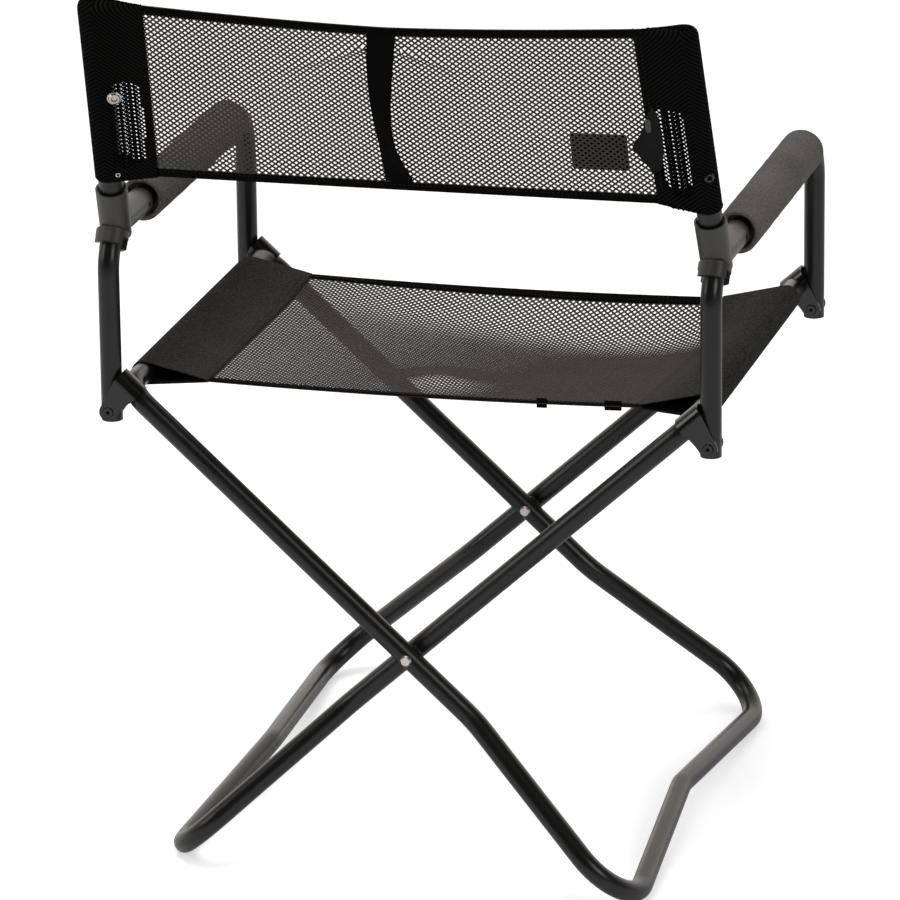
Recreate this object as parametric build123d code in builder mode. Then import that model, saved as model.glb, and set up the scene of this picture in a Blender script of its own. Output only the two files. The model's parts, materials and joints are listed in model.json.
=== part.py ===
from build123d import *
import os
from math import acos, asin, atan2, cos, degrees, hypot, radians, sin, tan

# Folding camp chair, in millimetres. The sitter faces -Y, +X is the sitter's left and +Z is up.
# The origin is on the floor under the middle of the chair.

# Tubes
TUBE_D = 19.0
TUBE_WALL = 1.2
BACK_TUBE_D = 22.0
BACK_TUBE_WALL = 1.3

# Leg frames: two equal frames that cross at a rivet, one turned half round from the other
CROSS_Z = 204.5
LEG_ANGLE = 42.4
LEG_SPACING = 420.0
FRAME_SHIFT = 10.0
FLARE_START = 81.0
FLARE = 74.0
FLARE_BEND_R = 80.0
FOOT_BEND_R = 45.0
KINK_RISE = 27.0
KINK_BEND_R = 60.0

# Seat rails: distances are along the leg from the cross rivet
RAIL_S = 345.0
RAIL_BEND_R = 22.0
SEAM_S = 321.0
SWAGE_LENGTH = 25.0
SWAGE_GAP = 0.1

# Hinge brackets of bent sheet
SHEET = 1.8
BRACKET_IN_R = 9.85
SADDLE_LOW = 333.0
SADDLE_HIGH = 358.0
EAR_END_R = 8.5
EAR_WAIST = 1.6
PIVOT_X = 270.0
PIVOT_Z = 416.5

# Rivets
PIN_D = 6.0
RUNNING_GAP = 0.05
PIN_BORE_D = 3.4
PIVOT_HEAD_D = 10.0
PIVOT_HEAD_H = 1.5
HEAD_TAPER = 25
CROSS_HEAD_D = 10.0
CROSS_HEAD_H = 2.4
CROSS_HEAD_GAP = 0.35
WASHER_D = 16.0
WASHER_T = 0.9

# Arms: rear post, armrest bar and front post of one tube
ARM_Z = 581.0
ARM_BEND_R = 40.0
POST_END = 9.5

# Foam grips: distances forward of the rear post
GRIP_D = 40.0
GRIP_BORE_D = 19.1
GRIP_REAR = 99.0
GRIP_FRONT = 367.0
GRIP_MOUTH_D = 31.0
GRIP_MOUTH_DEPTH = 14.0
GRIP_EDGE_R = 3.0

# Back posts: they lean back and a little inwards
BACK_REF_Z = 620.0
BACK_TILT = 19.5
BACK_LEAN = 2.6
BACK_INSET = 2.5
BACK_SET_FORWARD = 7.0
POST_LOW_Z = 594.0
POST_TOP_Z = 800.0
CAP_T = 3.0
CAP_PLUG = 14.0

# Back sockets: moulded pieces on the rear bend of the arm tubes
SOCKET_R = 13.8
SOCKET_TOP_R = 14.4
SOCKET_TOP_Z = 618.0
SOCKET_FIT = 0.05
RIM_R = 12.6
RIM_DEPTH = 3.5
SKIRT_START = 36.0
SKIRT_R = 14.8
SKIRT_LENGTH = 14.0
SKIRT_NOTCH_W = 15.0
SKIRT_NOTCH = 8.0
HORN_R = 12.2
HORN_END = 96.0
GUSSET_T = 7.0
SCREW_D = 5.0
SCREW_HEAD_D = 8.4
SCREW_HEAD_H = 1.4
SCREW_SEAT = 9.7
SCREW_BACK = 86.0

# Slings
CLOTH_T = 2.0
FOLD_GAP = 0.15
SLEEVE_GAP = 0.4
SLEEVE_T = 1.6
SLEEVE_TURN = 100
SEAT_SLEEVE_W = 60.0
SEAT_END = 44.0
SEAT_DIP = 2.0
SEAT_SAGS = (5.0, 20.0, 5.0)
BACK_SLEEVE_W = 44.0
BACK_LOW_Z = 632.0
BACK_HIGH_Z = 806.0
BACK_LOW_RISE = 2.5
BACK_HIGH_DIP = 11.0
BACK_TRIM = 12.0
HEM_W = 9.0
NET_HOLE = 17.0
SEAT_NET = (6, 10)
BACK_NET = (7, 5)

# Cloth fittings
TRIM_GAP = 0.6
STRAP_W = 25.0
STRAP_T = 1.5
STRAP_SLACK = 36.0
STRAP_OFF = 1.5
PATCH_W = 50.0
PATCH_H = 37.0
PATCH_T = 0.8
PATCH_IN = 89.0
PATCH_Z = 681.0
STUD_D = 13.0
STUD_H = 3.2
STUD_IN = 14.0
STUD_Z = 716.0
TAB_NEAR = 36.0
TAB_FAR = 66.0
TAB_H = 62.0
TAB_DROP = 8.0
TAB_T = 2.4
TAB_CORNER_R = 2.5
TAB_Z = 702.0
SLIDER_W = 5.0
SLIDER_H = 14.0
SLIDER_IN = 42.0
SLIDER_Z = 714.0
EYELET_D = {1: 5.0, -1: 9.0}
EYELET_HOLE_D = {1: 2.0, -1: 4.0}
EYELET_IN = {1: 10.5, -1: -7.0}
EYELET_Z = {1: 639.0, -1: 668.0}
EYELET_T = 1.4
HEM_TAB_W = 10.0
HEM_TAB_H = 4.5
HEM_TAB_T = 1.5
HEM_TAB_US = (-108.0, -172.0)

# Worked out from the driving dimensions
TUBE_R = TUBE_D / 2
HALF = LEG_SPACING / 2
UP = Vector(cos(radians(LEG_ANGLE)), 0, sin(radians(LEG_ANGLE)))
RAIL_X = RAIL_S * UP.X
RAIL_Z = CROSS_Z + RAIL_S * UP.Z
PIVOT_S = PIVOT_X * UP.X + (PIVOT_Z - CROSS_Z) * UP.Z
PIVOT_N = PIVOT_X * UP.Z - (PIVOT_Z - CROSS_Z) * UP.X
BRACKET_OUT_R = BRACKET_IN_R + SHEET
BACK_SLEEVE_R = BACK_TUBE_D / 2 + SLEEVE_GAP + SLEEVE_T
BACK_DIR = Vector(0, tan(radians(BACK_TILT)), 1)
FOOT_S = (CROSS_Z - TUBE_R) / UP.Z
SIDES = {"left": 1, "right": -1}

os.makedirs("parts", exist_ok=True)


def save(part, name):
    """Label a finished piece and write it out."""
    part.label = name
    export_step(part, f"parts/{name}.step")
    print(name, len(part.solids()), round(part.volume / 1000, 2), "cm3")


def frame_plane(sign):
    """Plane of a leg frame: x along the legs, y across them, z up and inboard."""
    return Plane(
        origin=(0, sign * FRAME_SHIFT, CROSS_Z),
        x_dir=(sign * UP.X, 0, UP.Z),
        z_dir=(-sign * UP.Z, 0, UP.X),
    )


def square_to(line):
    """Plane square to the start of a path."""
    return Plane(origin=line @ 0, z_dir=line % 0)


def rear_y(sign):
    """Y of the rear leg, bracket and post on one side."""
    return HALF + sign * FRAME_SHIFT


def post_point(sign, z):
    """Point on the axis of a back post at height z."""
    up = z - BACK_REF_Z
    x = PIVOT_X - BACK_INSET - up * tan(radians(BACK_LEAN))
    return Vector(sign * x, rear_y(sign) - BACK_SET_FORWARD + up * BACK_DIR.Y, z)


def post_plane(sign, z):
    """Plane square to a back post at height z."""
    return Plane(origin=post_point(sign, z), z_dir=post_point(sign, z + 1) - post_point(sign, z))


def foot_corner():
    """Virtual corner of leg and foot rail that leaves the rounded corner standing on the floor."""
    out = HALF + FLARE
    leg = degrees(atan2(FLARE, FOOT_S - FLARE_START))
    rail = degrees(atan2(KINK_RISE, out))
    half_turn = radians((90 - leg - rail) / 2)
    centre_up = FOOT_BEND_R / sin(half_turn) * cos(half_turn + radians(leg))
    return -FOOT_S + FOOT_BEND_R - centre_up, out


def leg_route():
    """Path of a leg frame, down one leg, along the foot rail and up the other."""
    corner_s, out = foot_corner()
    FilletPolyline(
        (SEAM_S, HALF),
        (-FLARE_START, HALF),
        (corner_s, out),
        (corner_s + KINK_RISE, 0),
        (corner_s, -out),
        (-FLARE_START, -HALF),
        (SEAM_S, -HALF),
        radius=[FLARE_BEND_R, FOOT_BEND_R, KINK_BEND_R, FOOT_BEND_R, FLARE_BEND_R],
    )


def rail_route():
    """Path of a seat rail with its two ends bent down along the legs."""
    FilletPolyline(
        (SEAM_S, HALF), (RAIL_S, HALF), (RAIL_S, -HALF), (SEAM_S, -HALF),
        radius=RAIL_BEND_R,
    )


def arm_route(sign):
    """Path of an arm tube in the plane of the arm."""
    rear = rear_y(sign)
    FilletPolyline(
        (rear, PIVOT_Z - POST_END),
        (rear, ARM_Z),
        (rear - LEG_SPACING, ARM_Z),
        (rear - LEG_SPACING, PIVOT_Z - POST_END),
        radius=ARM_BEND_R,
    )


def arm_plane(sign):
    """Upright plane of an arm, x along Y and y along Z."""
    return Plane(origin=(sign * PIVOT_X, 0, 0), x_dir=(0, 1, 0), z_dir=(1, 0, 0))


def screw_plane(sign):
    """Plane square to the cross screw of a back socket, on the axis of the armrest bar."""
    spot = (sign * PIVOT_X, rear_y(sign) - SCREW_BACK, ARM_Z)
    return Plane(origin=spot, x_dir=(0, 1, 0), z_dir=(sign, 0, 0))


def ring(outer, inner):
    """Round tube section."""
    Circle(outer)
    Circle(inner, mode=Mode.SUBTRACT)


def across(x, y, z):
    """Plane square to Y at a point, for pins and holes that run across the tubes."""
    return Plane(origin=(x, y, z), x_dir=(1, 0, 0), z_dir=(0, 1, 0))


def leg_frame(sign):
    """Leg frame tube with a hole for the cross rivet in each leg."""
    hole_r = PIN_D / 2 + (0 if sign > 0 else RUNNING_GAP)
    with BuildPart() as frame:
        with BuildLine(frame_plane(sign)) as route:
            leg_route()
        with BuildSketch(square_to(route.line)):
            ring(TUBE_R, TUBE_R - TUBE_WALL)
        sweep()
        for end in (1, -1):
            with BuildSketch(across(0, end * HALF + sign * FRAME_SHIFT, CROSS_Z)):
                Circle(hole_r)
            extrude(amount=TUBE_D, both=True, mode=Mode.SUBTRACT)
    return frame.part


def seat_rail(sign):
    """Seat rail tube with its swaged ends in the leg tubes."""
    swage_r = TUBE_R - TUBE_WALL - SWAGE_GAP
    plane = frame_plane(sign)
    with BuildPart() as rail:
        with BuildLine(plane) as route:
            rail_route()
        with BuildSketch(square_to(route.line)):
            ring(TUBE_R, TUBE_R - TUBE_WALL)
        sweep()
        for end in (1, -1):
            foot = Plane(plane.from_local_coords(Vector(SEAM_S, end * HALF, 0)), z_dir=plane.x_dir)
            with BuildSketch(foot.offset(-SWAGE_LENGTH)):
                ring(swage_r, swage_r - TUBE_WALL)
            extrude(amount=SWAGE_LENGTH + TUBE_WALL)
            with BuildSketch(foot):
                ring(TUBE_R, swage_r - TUBE_WALL)
            extrude(amount=TUBE_WALL)
    return rail.part


def ear_outline():
    """Outline of a bracket ear: broad at the leg, round at the pivot."""
    low, high = Vector(SADDLE_LOW, 0), Vector(SADDLE_HIGH, 0)
    pivot = Vector(PIVOT_S, -PIVOT_N)
    to_high = high - pivot
    turn = atan2(to_high.Y, to_high.X) - acos(EAR_END_R / to_high.length)
    outer = pivot + Vector(cos(turn), sin(turn)) * EAR_END_R
    end = pivot + Vector(0, -EAR_END_R)
    inner = pivot + Vector(-EAR_END_R, 0)
    waist = (low + inner) / 2 + Vector(EAR_WAIST, 0)
    with BuildSketch() as ear:
        with BuildLine():
            Polyline(low, high, outer)
            ThreePointArc(outer, pivot + (end + outer - pivot * 2).normalized() * EAR_END_R, end)
            ThreePointArc(end, pivot + Vector(-1, -1).normalized() * EAR_END_R, inner)
            ThreePointArc(inner, waist, low)
        make_face()
        with Locations(pivot):
            Circle(PIN_D / 2, mode=Mode.SUBTRACT)
    return ear.sketch


def hinge_bracket(sign, end):
    """Sheet bracket that wraps over a seat corner and holds the arm post between two ears."""
    plane = frame_plane(sign)
    corner = plane.from_local_coords(Vector(0, end * HALF, 0))
    saddle = Plane(corner, x_dir=plane.y_dir, z_dir=plane.x_dir).offset(SADDLE_LOW)
    ears = Plane(corner, x_dir=plane.x_dir, z_dir=-plane.y_dir)
    with BuildPart() as bracket:
        with BuildSketch(saddle):
            ring(BRACKET_OUT_R, BRACKET_IN_R)
            Rectangle(2 * BRACKET_OUT_R, BRACKET_OUT_R, align=(Align.CENTER, Align.MAX), mode=Mode.SUBTRACT)
        extrude(amount=SADDLE_HIGH - SADDLE_LOW)
        for offset in (BRACKET_IN_R, -BRACKET_OUT_R):
            with BuildSketch(ears.offset(offset)):
                add(ear_outline())
            extrude(amount=SHEET)
        with BuildLine(plane) as route:
            rail_route()
        with BuildSketch(square_to(route.line)):
            Circle(TUBE_R + RUNNING_GAP)
        sweep(mode=Mode.SUBTRACT)
    return bracket.part


def pivot_rivets(sign):
    """Two tubular rivets on which an arm turns."""
    reach = BRACKET_OUT_R
    with BuildPart() as rivets:
        for end in (1, -1):
            middle = across(sign * PIVOT_X, end * HALF + sign * FRAME_SHIFT, PIVOT_Z)
            with BuildSketch(middle):
                ring(PIN_D / 2, PIN_BORE_D / 2)
            extrude(amount=reach, both=True)
            for face in (middle.offset(reach), Plane(middle.origin, z_dir=-middle.z_dir).offset(reach)):
                with BuildSketch(face):
                    Circle(PIVOT_HEAD_D / 2)
                extrude(amount=PIVOT_HEAD_H, taper=HEAD_TAPER)
            with BuildSketch(middle):
                Circle(PIN_BORE_D / 2)
            extrude(amount=reach + 2 * PIVOT_HEAD_H, both=True, mode=Mode.SUBTRACT)
    return rivets.part


def cross_rivets():
    """Two domed rivets through the crossing legs, with heads just clear of the tubes under them."""
    reach = FRAME_SHIFT + TUBE_R + CROSS_HEAD_GAP
    with BuildPart() as rivets:
        for end in (1, -1):
            middle = across(0, end * HALF, CROSS_Z)
            with BuildSketch(middle):
                Circle(PIN_D / 2)
            extrude(amount=reach, both=True)
            for way in (1, -1):
                with BuildSketch(Plane(middle.origin, z_dir=middle.z_dir * way).offset(reach)):
                    Circle(CROSS_HEAD_D / 2)
                extrude(amount=CROSS_HEAD_H, taper=HEAD_TAPER)
    return rivets.part


def cross_washers():
    """Two thin spacer washers between the crossing legs."""
    with BuildPart() as washers:
        for end in (1, -1):
            with BuildSketch(across(0, end * HALF, CROSS_Z)):
                ring(WASHER_D / 2, PIN_D / 2)
            extrude(amount=WASHER_T / 2, both=True)
    return washers.part


def arm_tube(sign):
    """Arm tube with a pivot hole near each end."""
    with BuildPart() as arm:
        with BuildLine(arm_plane(sign)) as route:
            arm_route(sign)
        with BuildSketch(square_to(route.line)):
            ring(TUBE_R, TUBE_R - TUBE_WALL)
        sweep()
        for end in (1, -1):
            with BuildSketch(across(sign * PIVOT_X, end * HALF + sign * FRAME_SHIFT, PIVOT_Z)):
                Circle(PIN_D / 2 + RUNNING_GAP)
            extrude(amount=TUBE_D, both=True, mode=Mode.SUBTRACT)
        with BuildSketch(screw_plane(sign)):
            Circle(SCREW_D / 2)
        extrude(amount=TUBE_D, both=True, mode=Mode.SUBTRACT)
    return arm.part


def armrest_grip(sign):
    """Foam grip round the armrest bar, with a hollow mouth towards the back socket."""
    rear = across(sign * PIVOT_X, rear_y(sign) - GRIP_REAR, ARM_Z)
    with BuildPart() as grip:
        with BuildSketch(rear):
            Circle(GRIP_D / 2)
        extrude(amount=GRIP_REAR - GRIP_FRONT)
        fillet(grip.edges().filter_by(GeomType.CIRCLE), GRIP_EDGE_R)
        with BuildSketch(rear):
            Circle(GRIP_MOUTH_D / 2)
        extrude(amount=-GRIP_MOUTH_DEPTH, mode=Mode.SUBTRACT)
        with BuildSketch(rear):
            Circle(GRIP_BORE_D / 2)
        extrude(amount=GRIP_REAR - GRIP_FRONT, mode=Mode.SUBTRACT)
    return grip.part


def bend_route(sign, end_back):
    """Path of the arm tube from the skirt of the back socket to a distance in front of the rear post."""
    rear = rear_y(sign)
    centre = (rear - ARM_BEND_R, ARM_Z - ARM_BEND_R)
    bend = CenterArc(centre, ARM_BEND_R, SKIRT_START, 90 - SKIRT_START)
    Line(bend @ 1, (rear - end_back, ARM_Z))


def back_socket(sign):
    """Moulded T piece: a sleeve on the bend of the arm, a horn, a gusset and a socket for the back post."""
    rear = rear_y(sign)
    plane = arm_plane(sign)
    with BuildPart() as socket:
        with BuildLine(plane) as bend:
            bend_route(sign, HORN_END)
        with BuildSketch(square_to(bend.line)):
            Circle(HORN_R)
        sweep()
        barrel = post_plane(sign, SOCKET_TOP_Z)
        with BuildSketch(barrel):
            Circle(SOCKET_TOP_R)
        with BuildSketch(post_plane(sign, ARM_Z - TUBE_R)):
            Circle(SOCKET_R)
        loft()
        start = square_to(bend.line)
        with BuildSketch(start):
            Circle(SKIRT_R)
        extrude(amount=SKIRT_LENGTH)
        with BuildSketch(plane):
            with BuildLine():
                Polyline(
                    (start.origin.Y - TUBE_R, start.origin.Z - TUBE_R / 2),
                    (rear - HORN_END, ARM_Z - HORN_R / 2),
                    (rear - HORN_END, ARM_Z),
                    (start.origin.Y, ARM_Z),
                    close=True,
                )
            make_face()
        extrude(amount=GUSSET_T / 2, both=True)
        with BuildSketch(start):
            Rectangle(SKIRT_NOTCH_W, 4 * SKIRT_R)
        extrude(amount=SKIRT_NOTCH, mode=Mode.SUBTRACT)
        with BuildSketch(barrel):
            Circle(RIM_R)
        extrude(amount=-RIM_DEPTH, mode=Mode.SUBTRACT)
        with BuildSketch(post_plane(sign, POST_LOW_Z)):
            Circle(BACK_TUBE_D / 2 + SOCKET_FIT)
        extrude(amount=SOCKET_TOP_Z - POST_LOW_Z + RIM_DEPTH, mode=Mode.SUBTRACT)
        with BuildLine(plane) as core:
            arm_route(sign)
        with BuildSketch(square_to(core.line)):
            Circle(TUBE_R + SOCKET_FIT)
        sweep(mode=Mode.SUBTRACT)
        screw = screw_plane(sign)
        with BuildSketch(screw):
            Circle(SCREW_D / 2)
        extrude(amount=HORN_R * 2, both=True, mode=Mode.SUBTRACT)
        with BuildSketch(screw.offset(SCREW_SEAT)):
            Circle(SCREW_HEAD_D / 2)
        extrude(amount=HORN_R, mode=Mode.SUBTRACT)
    return socket.part


def socket_screw(sign):
    """Cross screw that holds a back socket on the armrest bar, its head sunk in the horn."""
    middle = screw_plane(sign)
    with BuildPart() as screw:
        with BuildSketch(middle):
            Circle(SCREW_D / 2)
        extrude(amount=SCREW_SEAT)
        with BuildSketch(middle):
            Circle(SCREW_D / 2)
        extrude(amount=-HORN_R + SCREW_HEAD_H)
        with BuildSketch(middle.offset(SCREW_SEAT)):
            Circle(SCREW_HEAD_D / 2 - SOCKET_FIT)
        extrude(amount=SCREW_HEAD_H)
        with BuildSketch(middle.offset(SCREW_SEAT + SCREW_HEAD_H)):
            RegularPolygon(SCREW_D / 2, 6)
        extrude(amount=-SCREW_HEAD_H / 2, mode=Mode.SUBTRACT)
    return screw.part


def back_post(sign):
    """Straight tube that carries one side of the back sling."""
    length = (post_point(sign, POST_TOP_Z) - post_point(sign, POST_LOW_Z)).length
    with BuildPart() as post:
        with BuildSketch(post_plane(sign, POST_LOW_Z)):
            ring(BACK_TUBE_D / 2, BACK_TUBE_D / 2 - BACK_TUBE_WALL)
        extrude(amount=length)
    return post.part


def post_cap(sign):
    """End cap with a plug in the top of a back post."""
    top = post_plane(sign, POST_TOP_Z)
    with BuildPart() as cap:
        with BuildSketch(top):
            Circle(BACK_TUBE_D / 2)
        extrude(amount=CAP_T, taper=HEAD_TAPER)
        with BuildSketch(top):
            Circle(BACK_TUBE_D / 2 - BACK_TUBE_WALL - SOCKET_FIT)
        extrude(amount=-CAP_PLUG)
    return cap.part


def seat_plane(y):
    """Upright plane across the seat, skewed because the two rails are staggered."""
    return Plane(origin=(0, y, 0), x_dir=(RAIL_X, FRAME_SHIFT, 0), z_dir=(FRAME_SHIFT, -RAIL_X, 0))


def teardrop(sign, axis_u, axis_z, radius, width, sag):
    """Section of half a sling: a thin panel from the fold to the seam, and a sleeve round the tube."""

    def at(u, z):
        return (sign * u, z)

    def panel(u):
        return axis_z - (SEAT_DIP + sag * (1 - (u / axis_u) ** 2) if sag else 0)

    def on_sleeve(angle):
        return at(axis_u + radius * cos(radians(angle)), axis_z + radius * sin(radians(angle)))

    seam = axis_u - width
    t = CLOTH_T / 2
    stops = (FOLD_GAP, seam / 2, seam)
    with BuildSketch() as section:
        with BuildLine():
            top = Spline(*[at(u, panel(u) + t) for u in stops])
            Line(top @ 1, on_sleeve(SLEEVE_TURN))
            ThreePointArc(on_sleeve(SLEEVE_TURN), on_sleeve(SLEEVE_TURN / 2), on_sleeve(0))
            ThreePointArc(on_sleeve(0), on_sleeve(-SLEEVE_TURN / 2), on_sleeve(-SLEEVE_TURN))
            low = Spline(*[at(u, panel(u) - t) for u in reversed(stops)])
            Line(on_sleeve(-SLEEVE_TURN), low @ 0)
            Line(low @ 1, top @ 0)
        make_face()
    return section.sketch


def net_openings(u, v, width, length, counts):
    """Diamond openings in a plain grid, with the net of cloth left between them."""
    columns, rows = counts
    with BuildSketch() as openings:
        with Locations((u, v)):
            with GridLocations(width / columns, length / rows, columns, rows):
                Rectangle(NET_HOLE, NET_HOLE, rotation=45)
    return openings.sketch


def seat_sling(sign):
    """Half of the seat cloth, sagging from its sleeve to the fold in the middle, with an open net."""
    reach = hypot(RAIL_X, FRAME_SHIFT)
    sleeve = TUBE_R + SLEEVE_GAP + SLEEVE_T
    ends = HALF - SEAT_END
    net = reach - SEAT_SLEEVE_W
    with BuildPart() as sling:
        for y, sag in zip((ends, 0, -ends), SEAT_SAGS):
            with BuildSketch(seat_plane(y)):
                add(teardrop(sign, reach, RAIL_Z, sleeve, SEAT_SLEEVE_W, sag))
        loft()
        with BuildSketch(across(sign * RAIL_X, 0, RAIL_Z)):
            Circle(TUBE_R + SLEEVE_GAP)
        extrude(amount=HALF, both=True, mode=Mode.SUBTRACT)
        with BuildSketch(Plane(origin=(0, 0, RAIL_Z), x_dir=seat_plane(0).x_dir, z_dir=(0, 0, 1))):
            add(net_openings(sign * net / 2, 0, net, 2 * (ends - HEM_W), SEAT_NET))
        extrude(amount=SEAT_SLEEVE_W, both=True, mode=Mode.SUBTRACT)
    return sling.part


def back_plane(z):
    """Plane across the back at height z, square to the lean of the back."""
    middle = (post_point(1, z) + post_point(-1, z)) / 2
    along = (post_point(1, z) - post_point(-1, z)).normalized()
    return Plane(origin=middle, x_dir=along, z_dir=BACK_DIR - along * BACK_DIR.dot(along))


def face_plane():
    """Plane in the cloth of the back: x across, y up the cloth, z to the front."""
    low = back_plane(BACK_REF_Z)
    return Plane(origin=low.origin, x_dir=low.x_dir, z_dir=low.x_dir.cross(low.z_dir))


def up_cloth(z):
    """Distance up the cloth of the back for a height z."""
    return (z - BACK_REF_Z) / cos(radians(BACK_TILT))


def back_sling(sign):
    """Half of the back cloth, with its hems drawn in towards the fold and an open net between them."""
    side = PIVOT_X + BACK_SLEEVE_W
    low, high = up_cloth(BACK_LOW_Z), up_cloth(BACK_HIGH_Z)
    net_low, net_high = low + BACK_LOW_RISE + HEM_W, high - BACK_HIGH_DIP - HEM_W
    with BuildPart() as sling:
        for z in (BACK_LOW_Z - BACK_TRIM, BACK_HIGH_Z + BACK_TRIM):
            half = (post_point(1, z) - post_point(-1, z)).length / 2
            with BuildSketch(back_plane(z)):
                add(teardrop(sign, half, 0, BACK_SLEEVE_R, BACK_SLEEVE_W, 0))
        loft(ruled=True)
        with BuildSketch(face_plane()):
            with BuildLine():
                ThreePointArc((-side, low), (0, low + BACK_LOW_RISE), (side, low))
                Line((side, low), (side, high))
                ThreePointArc((side, high), (0, high - BACK_HIGH_DIP), (-side, high))
                Line((-side, high), (-side, low))
            make_face()
        extrude(amount=BACK_SLEEVE_W, both=True, mode=Mode.INTERSECT)
        with BuildSketch(post_plane(sign, BACK_LOW_Z - 2 * BACK_TRIM)):
            Circle(BACK_TUBE_D / 2 + SLEEVE_GAP)
        extrude(amount=2 * (BACK_HIGH_Z - BACK_LOW_Z), mode=Mode.SUBTRACT)
        net = half - BACK_SLEEVE_W
        with BuildSketch(face_plane()):
            add(net_openings(sign * net / 2, (net_low + net_high) / 2, net, net_high - net_low, BACK_NET))
        extrude(amount=BACK_SLEEVE_W, both=True, mode=Mode.SUBTRACT)
    return sling.part


def rear_face(sign, inboard, z, out, slope=0):
    """Plane on the rear of the back cloth, a distance inboard of a post and out from the cloth."""
    face = face_plane()
    half = (post_point(1, z) - post_point(-1, z)).length / 2
    spot = face.from_local_coords(Vector(sign * (half - inboard), up_cloth(z), -out))
    normal = face.x_dir * (-sign * sin(slope)) - face.z_dir * cos(slope)
    return Plane(origin=spot, x_dir=normal.cross(face.y_dir), z_dir=normal)


def sleeve_depth(inboard):
    """Half thickness of a back sleeve a distance inboard of its post."""
    return BACK_SLEEVE_R + (CLOTH_T / 2 - BACK_SLEEVE_R) * inboard / BACK_SLEEVE_W


def sleeve_face(sign, inboard, z):
    """Plane on the rear of a back sleeve, on its slope or, outboard of the post, on its round."""
    if inboard < 0:
        slope = asin(inboard / BACK_SLEEVE_R)
        return rear_face(sign, inboard, z, BACK_SLEEVE_R * cos(slope) + TRIM_GAP, slope)
    slope = atan2(BACK_SLEEVE_R - CLOTH_T / 2, BACK_SLEEVE_W)
    return rear_face(sign, inboard, z, sleeve_depth(inboard) + TRIM_GAP, slope)


def tab_face(inboard, z):
    """Plane of the strap tab, parallel to the cloth of the back and clear of the right sleeve."""
    return rear_face(-1, inboard, z, sleeve_depth(TAB_NEAR) + TRIM_GAP)


def back_strap():
    """Slack webbing strap down the middle of the back, bowed out to the rear."""
    face = face_plane()
    low = up_cloth(BACK_LOW_Z) + BACK_LOW_RISE
    high = up_cloth(BACK_HIGH_Z) - BACK_HIGH_DIP
    middle = (low + high) / 2
    near, far = -STRAP_OFF, -STRAP_OFF - STRAP_SLACK
    with BuildPart() as strap:
        with BuildSketch(Plane(face.origin, x_dir=face.y_dir, z_dir=face.x_dir)):
            with BuildLine():
                ThreePointArc((low, near), (middle, far), (high, near))
                Line((high, near), (high, near - STRAP_T))
                ThreePointArc((high, near - STRAP_T), (middle, far - STRAP_T), (low, near - STRAP_T))
                Line((low, near - STRAP_T), (low, near))
            make_face()
        extrude(amount=STRAP_W / 2, both=True)
    return strap.part


def back_patch():
    """Plain patch sewn on the front of the back cloth."""
    with BuildPart() as patch:
        with BuildSketch(rear_face(-1, PATCH_IN, PATCH_Z, -CLOTH_T / 2 - TRIM_GAP)):
            RectangleRounded(PATCH_W, PATCH_H, PATCH_T)
        extrude(amount=-PATCH_T)
    return patch.part


def press_stud():
    """Domed press stud on the rear of the left sleeve."""
    base = sleeve_face(1, STUD_IN, STUD_Z)
    with BuildPart() as stud:
        with BuildSketch(base):
            Circle(STUD_D / 2)
        extrude(amount=STUD_H / 2)
        with BuildSketch(base.offset(STUD_H / 2)):
            Circle(STUD_D / 2 - STUD_H / 2)
        extrude(amount=STUD_H / 2, taper=HEAD_TAPER)
    return stud.part


def strap_tab():
    """Webbing folded to a pointed tab, from the rear of the right sleeve out over the back cloth."""
    with BuildPart() as tab:
        with BuildSketch(tab_face(TAB_NEAR, TAB_Z)) as outline:
            with BuildLine():
                Polyline((0, TAB_H / 2), (0, -TAB_H / 2), (TAB_FAR - TAB_NEAR, -TAB_DROP), close=True)
            make_face()
            fillet(outline.vertices(), TAB_CORNER_R)
        extrude(amount=TAB_T)
    return tab.part


def tab_slider():
    """Small upright metal slider on the webbing tab."""
    with BuildPart() as slider:
        with BuildSketch(tab_face(SLIDER_IN, SLIDER_Z).offset(TAB_T)):
            RectangleRounded(SLIDER_W, SLIDER_H, SLIDER_W / 2 - SOCKET_FIT)
        extrude(amount=TAB_T / 2)
    return slider.part


def sleeve_eyelet(sign):
    """Eyelet low on the rear of a back sleeve."""
    with BuildPart() as eyelet:
        with BuildSketch(sleeve_face(sign, EYELET_IN[sign], EYELET_Z[sign])):
            ring(EYELET_D[sign] / 2, EYELET_HOLE_D[sign] / 2)
        extrude(amount=EYELET_T)
    return eyelet.part


def hem_tabs():
    """Two small tabs under the rear hem of the seat."""
    reach = hypot(RAIL_X, FRAME_SHIFT)
    rear = HALF - SEAT_END
    with BuildPart() as tabs:
        for u in HEM_TAB_US:
            hem = RAIL_Z - SEAT_DIP - SEAT_SAGS[0] * (1 - (u / reach) ** 2) - CLOTH_T
            with BuildSketch(seat_plane(rear)):
                with Locations((u, hem)):
                    Rectangle(HEM_TAB_W, HEM_TAB_H, align=(Align.CENTER, Align.MAX))
            extrude(amount=HEM_TAB_T)
    return tabs.part


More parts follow.
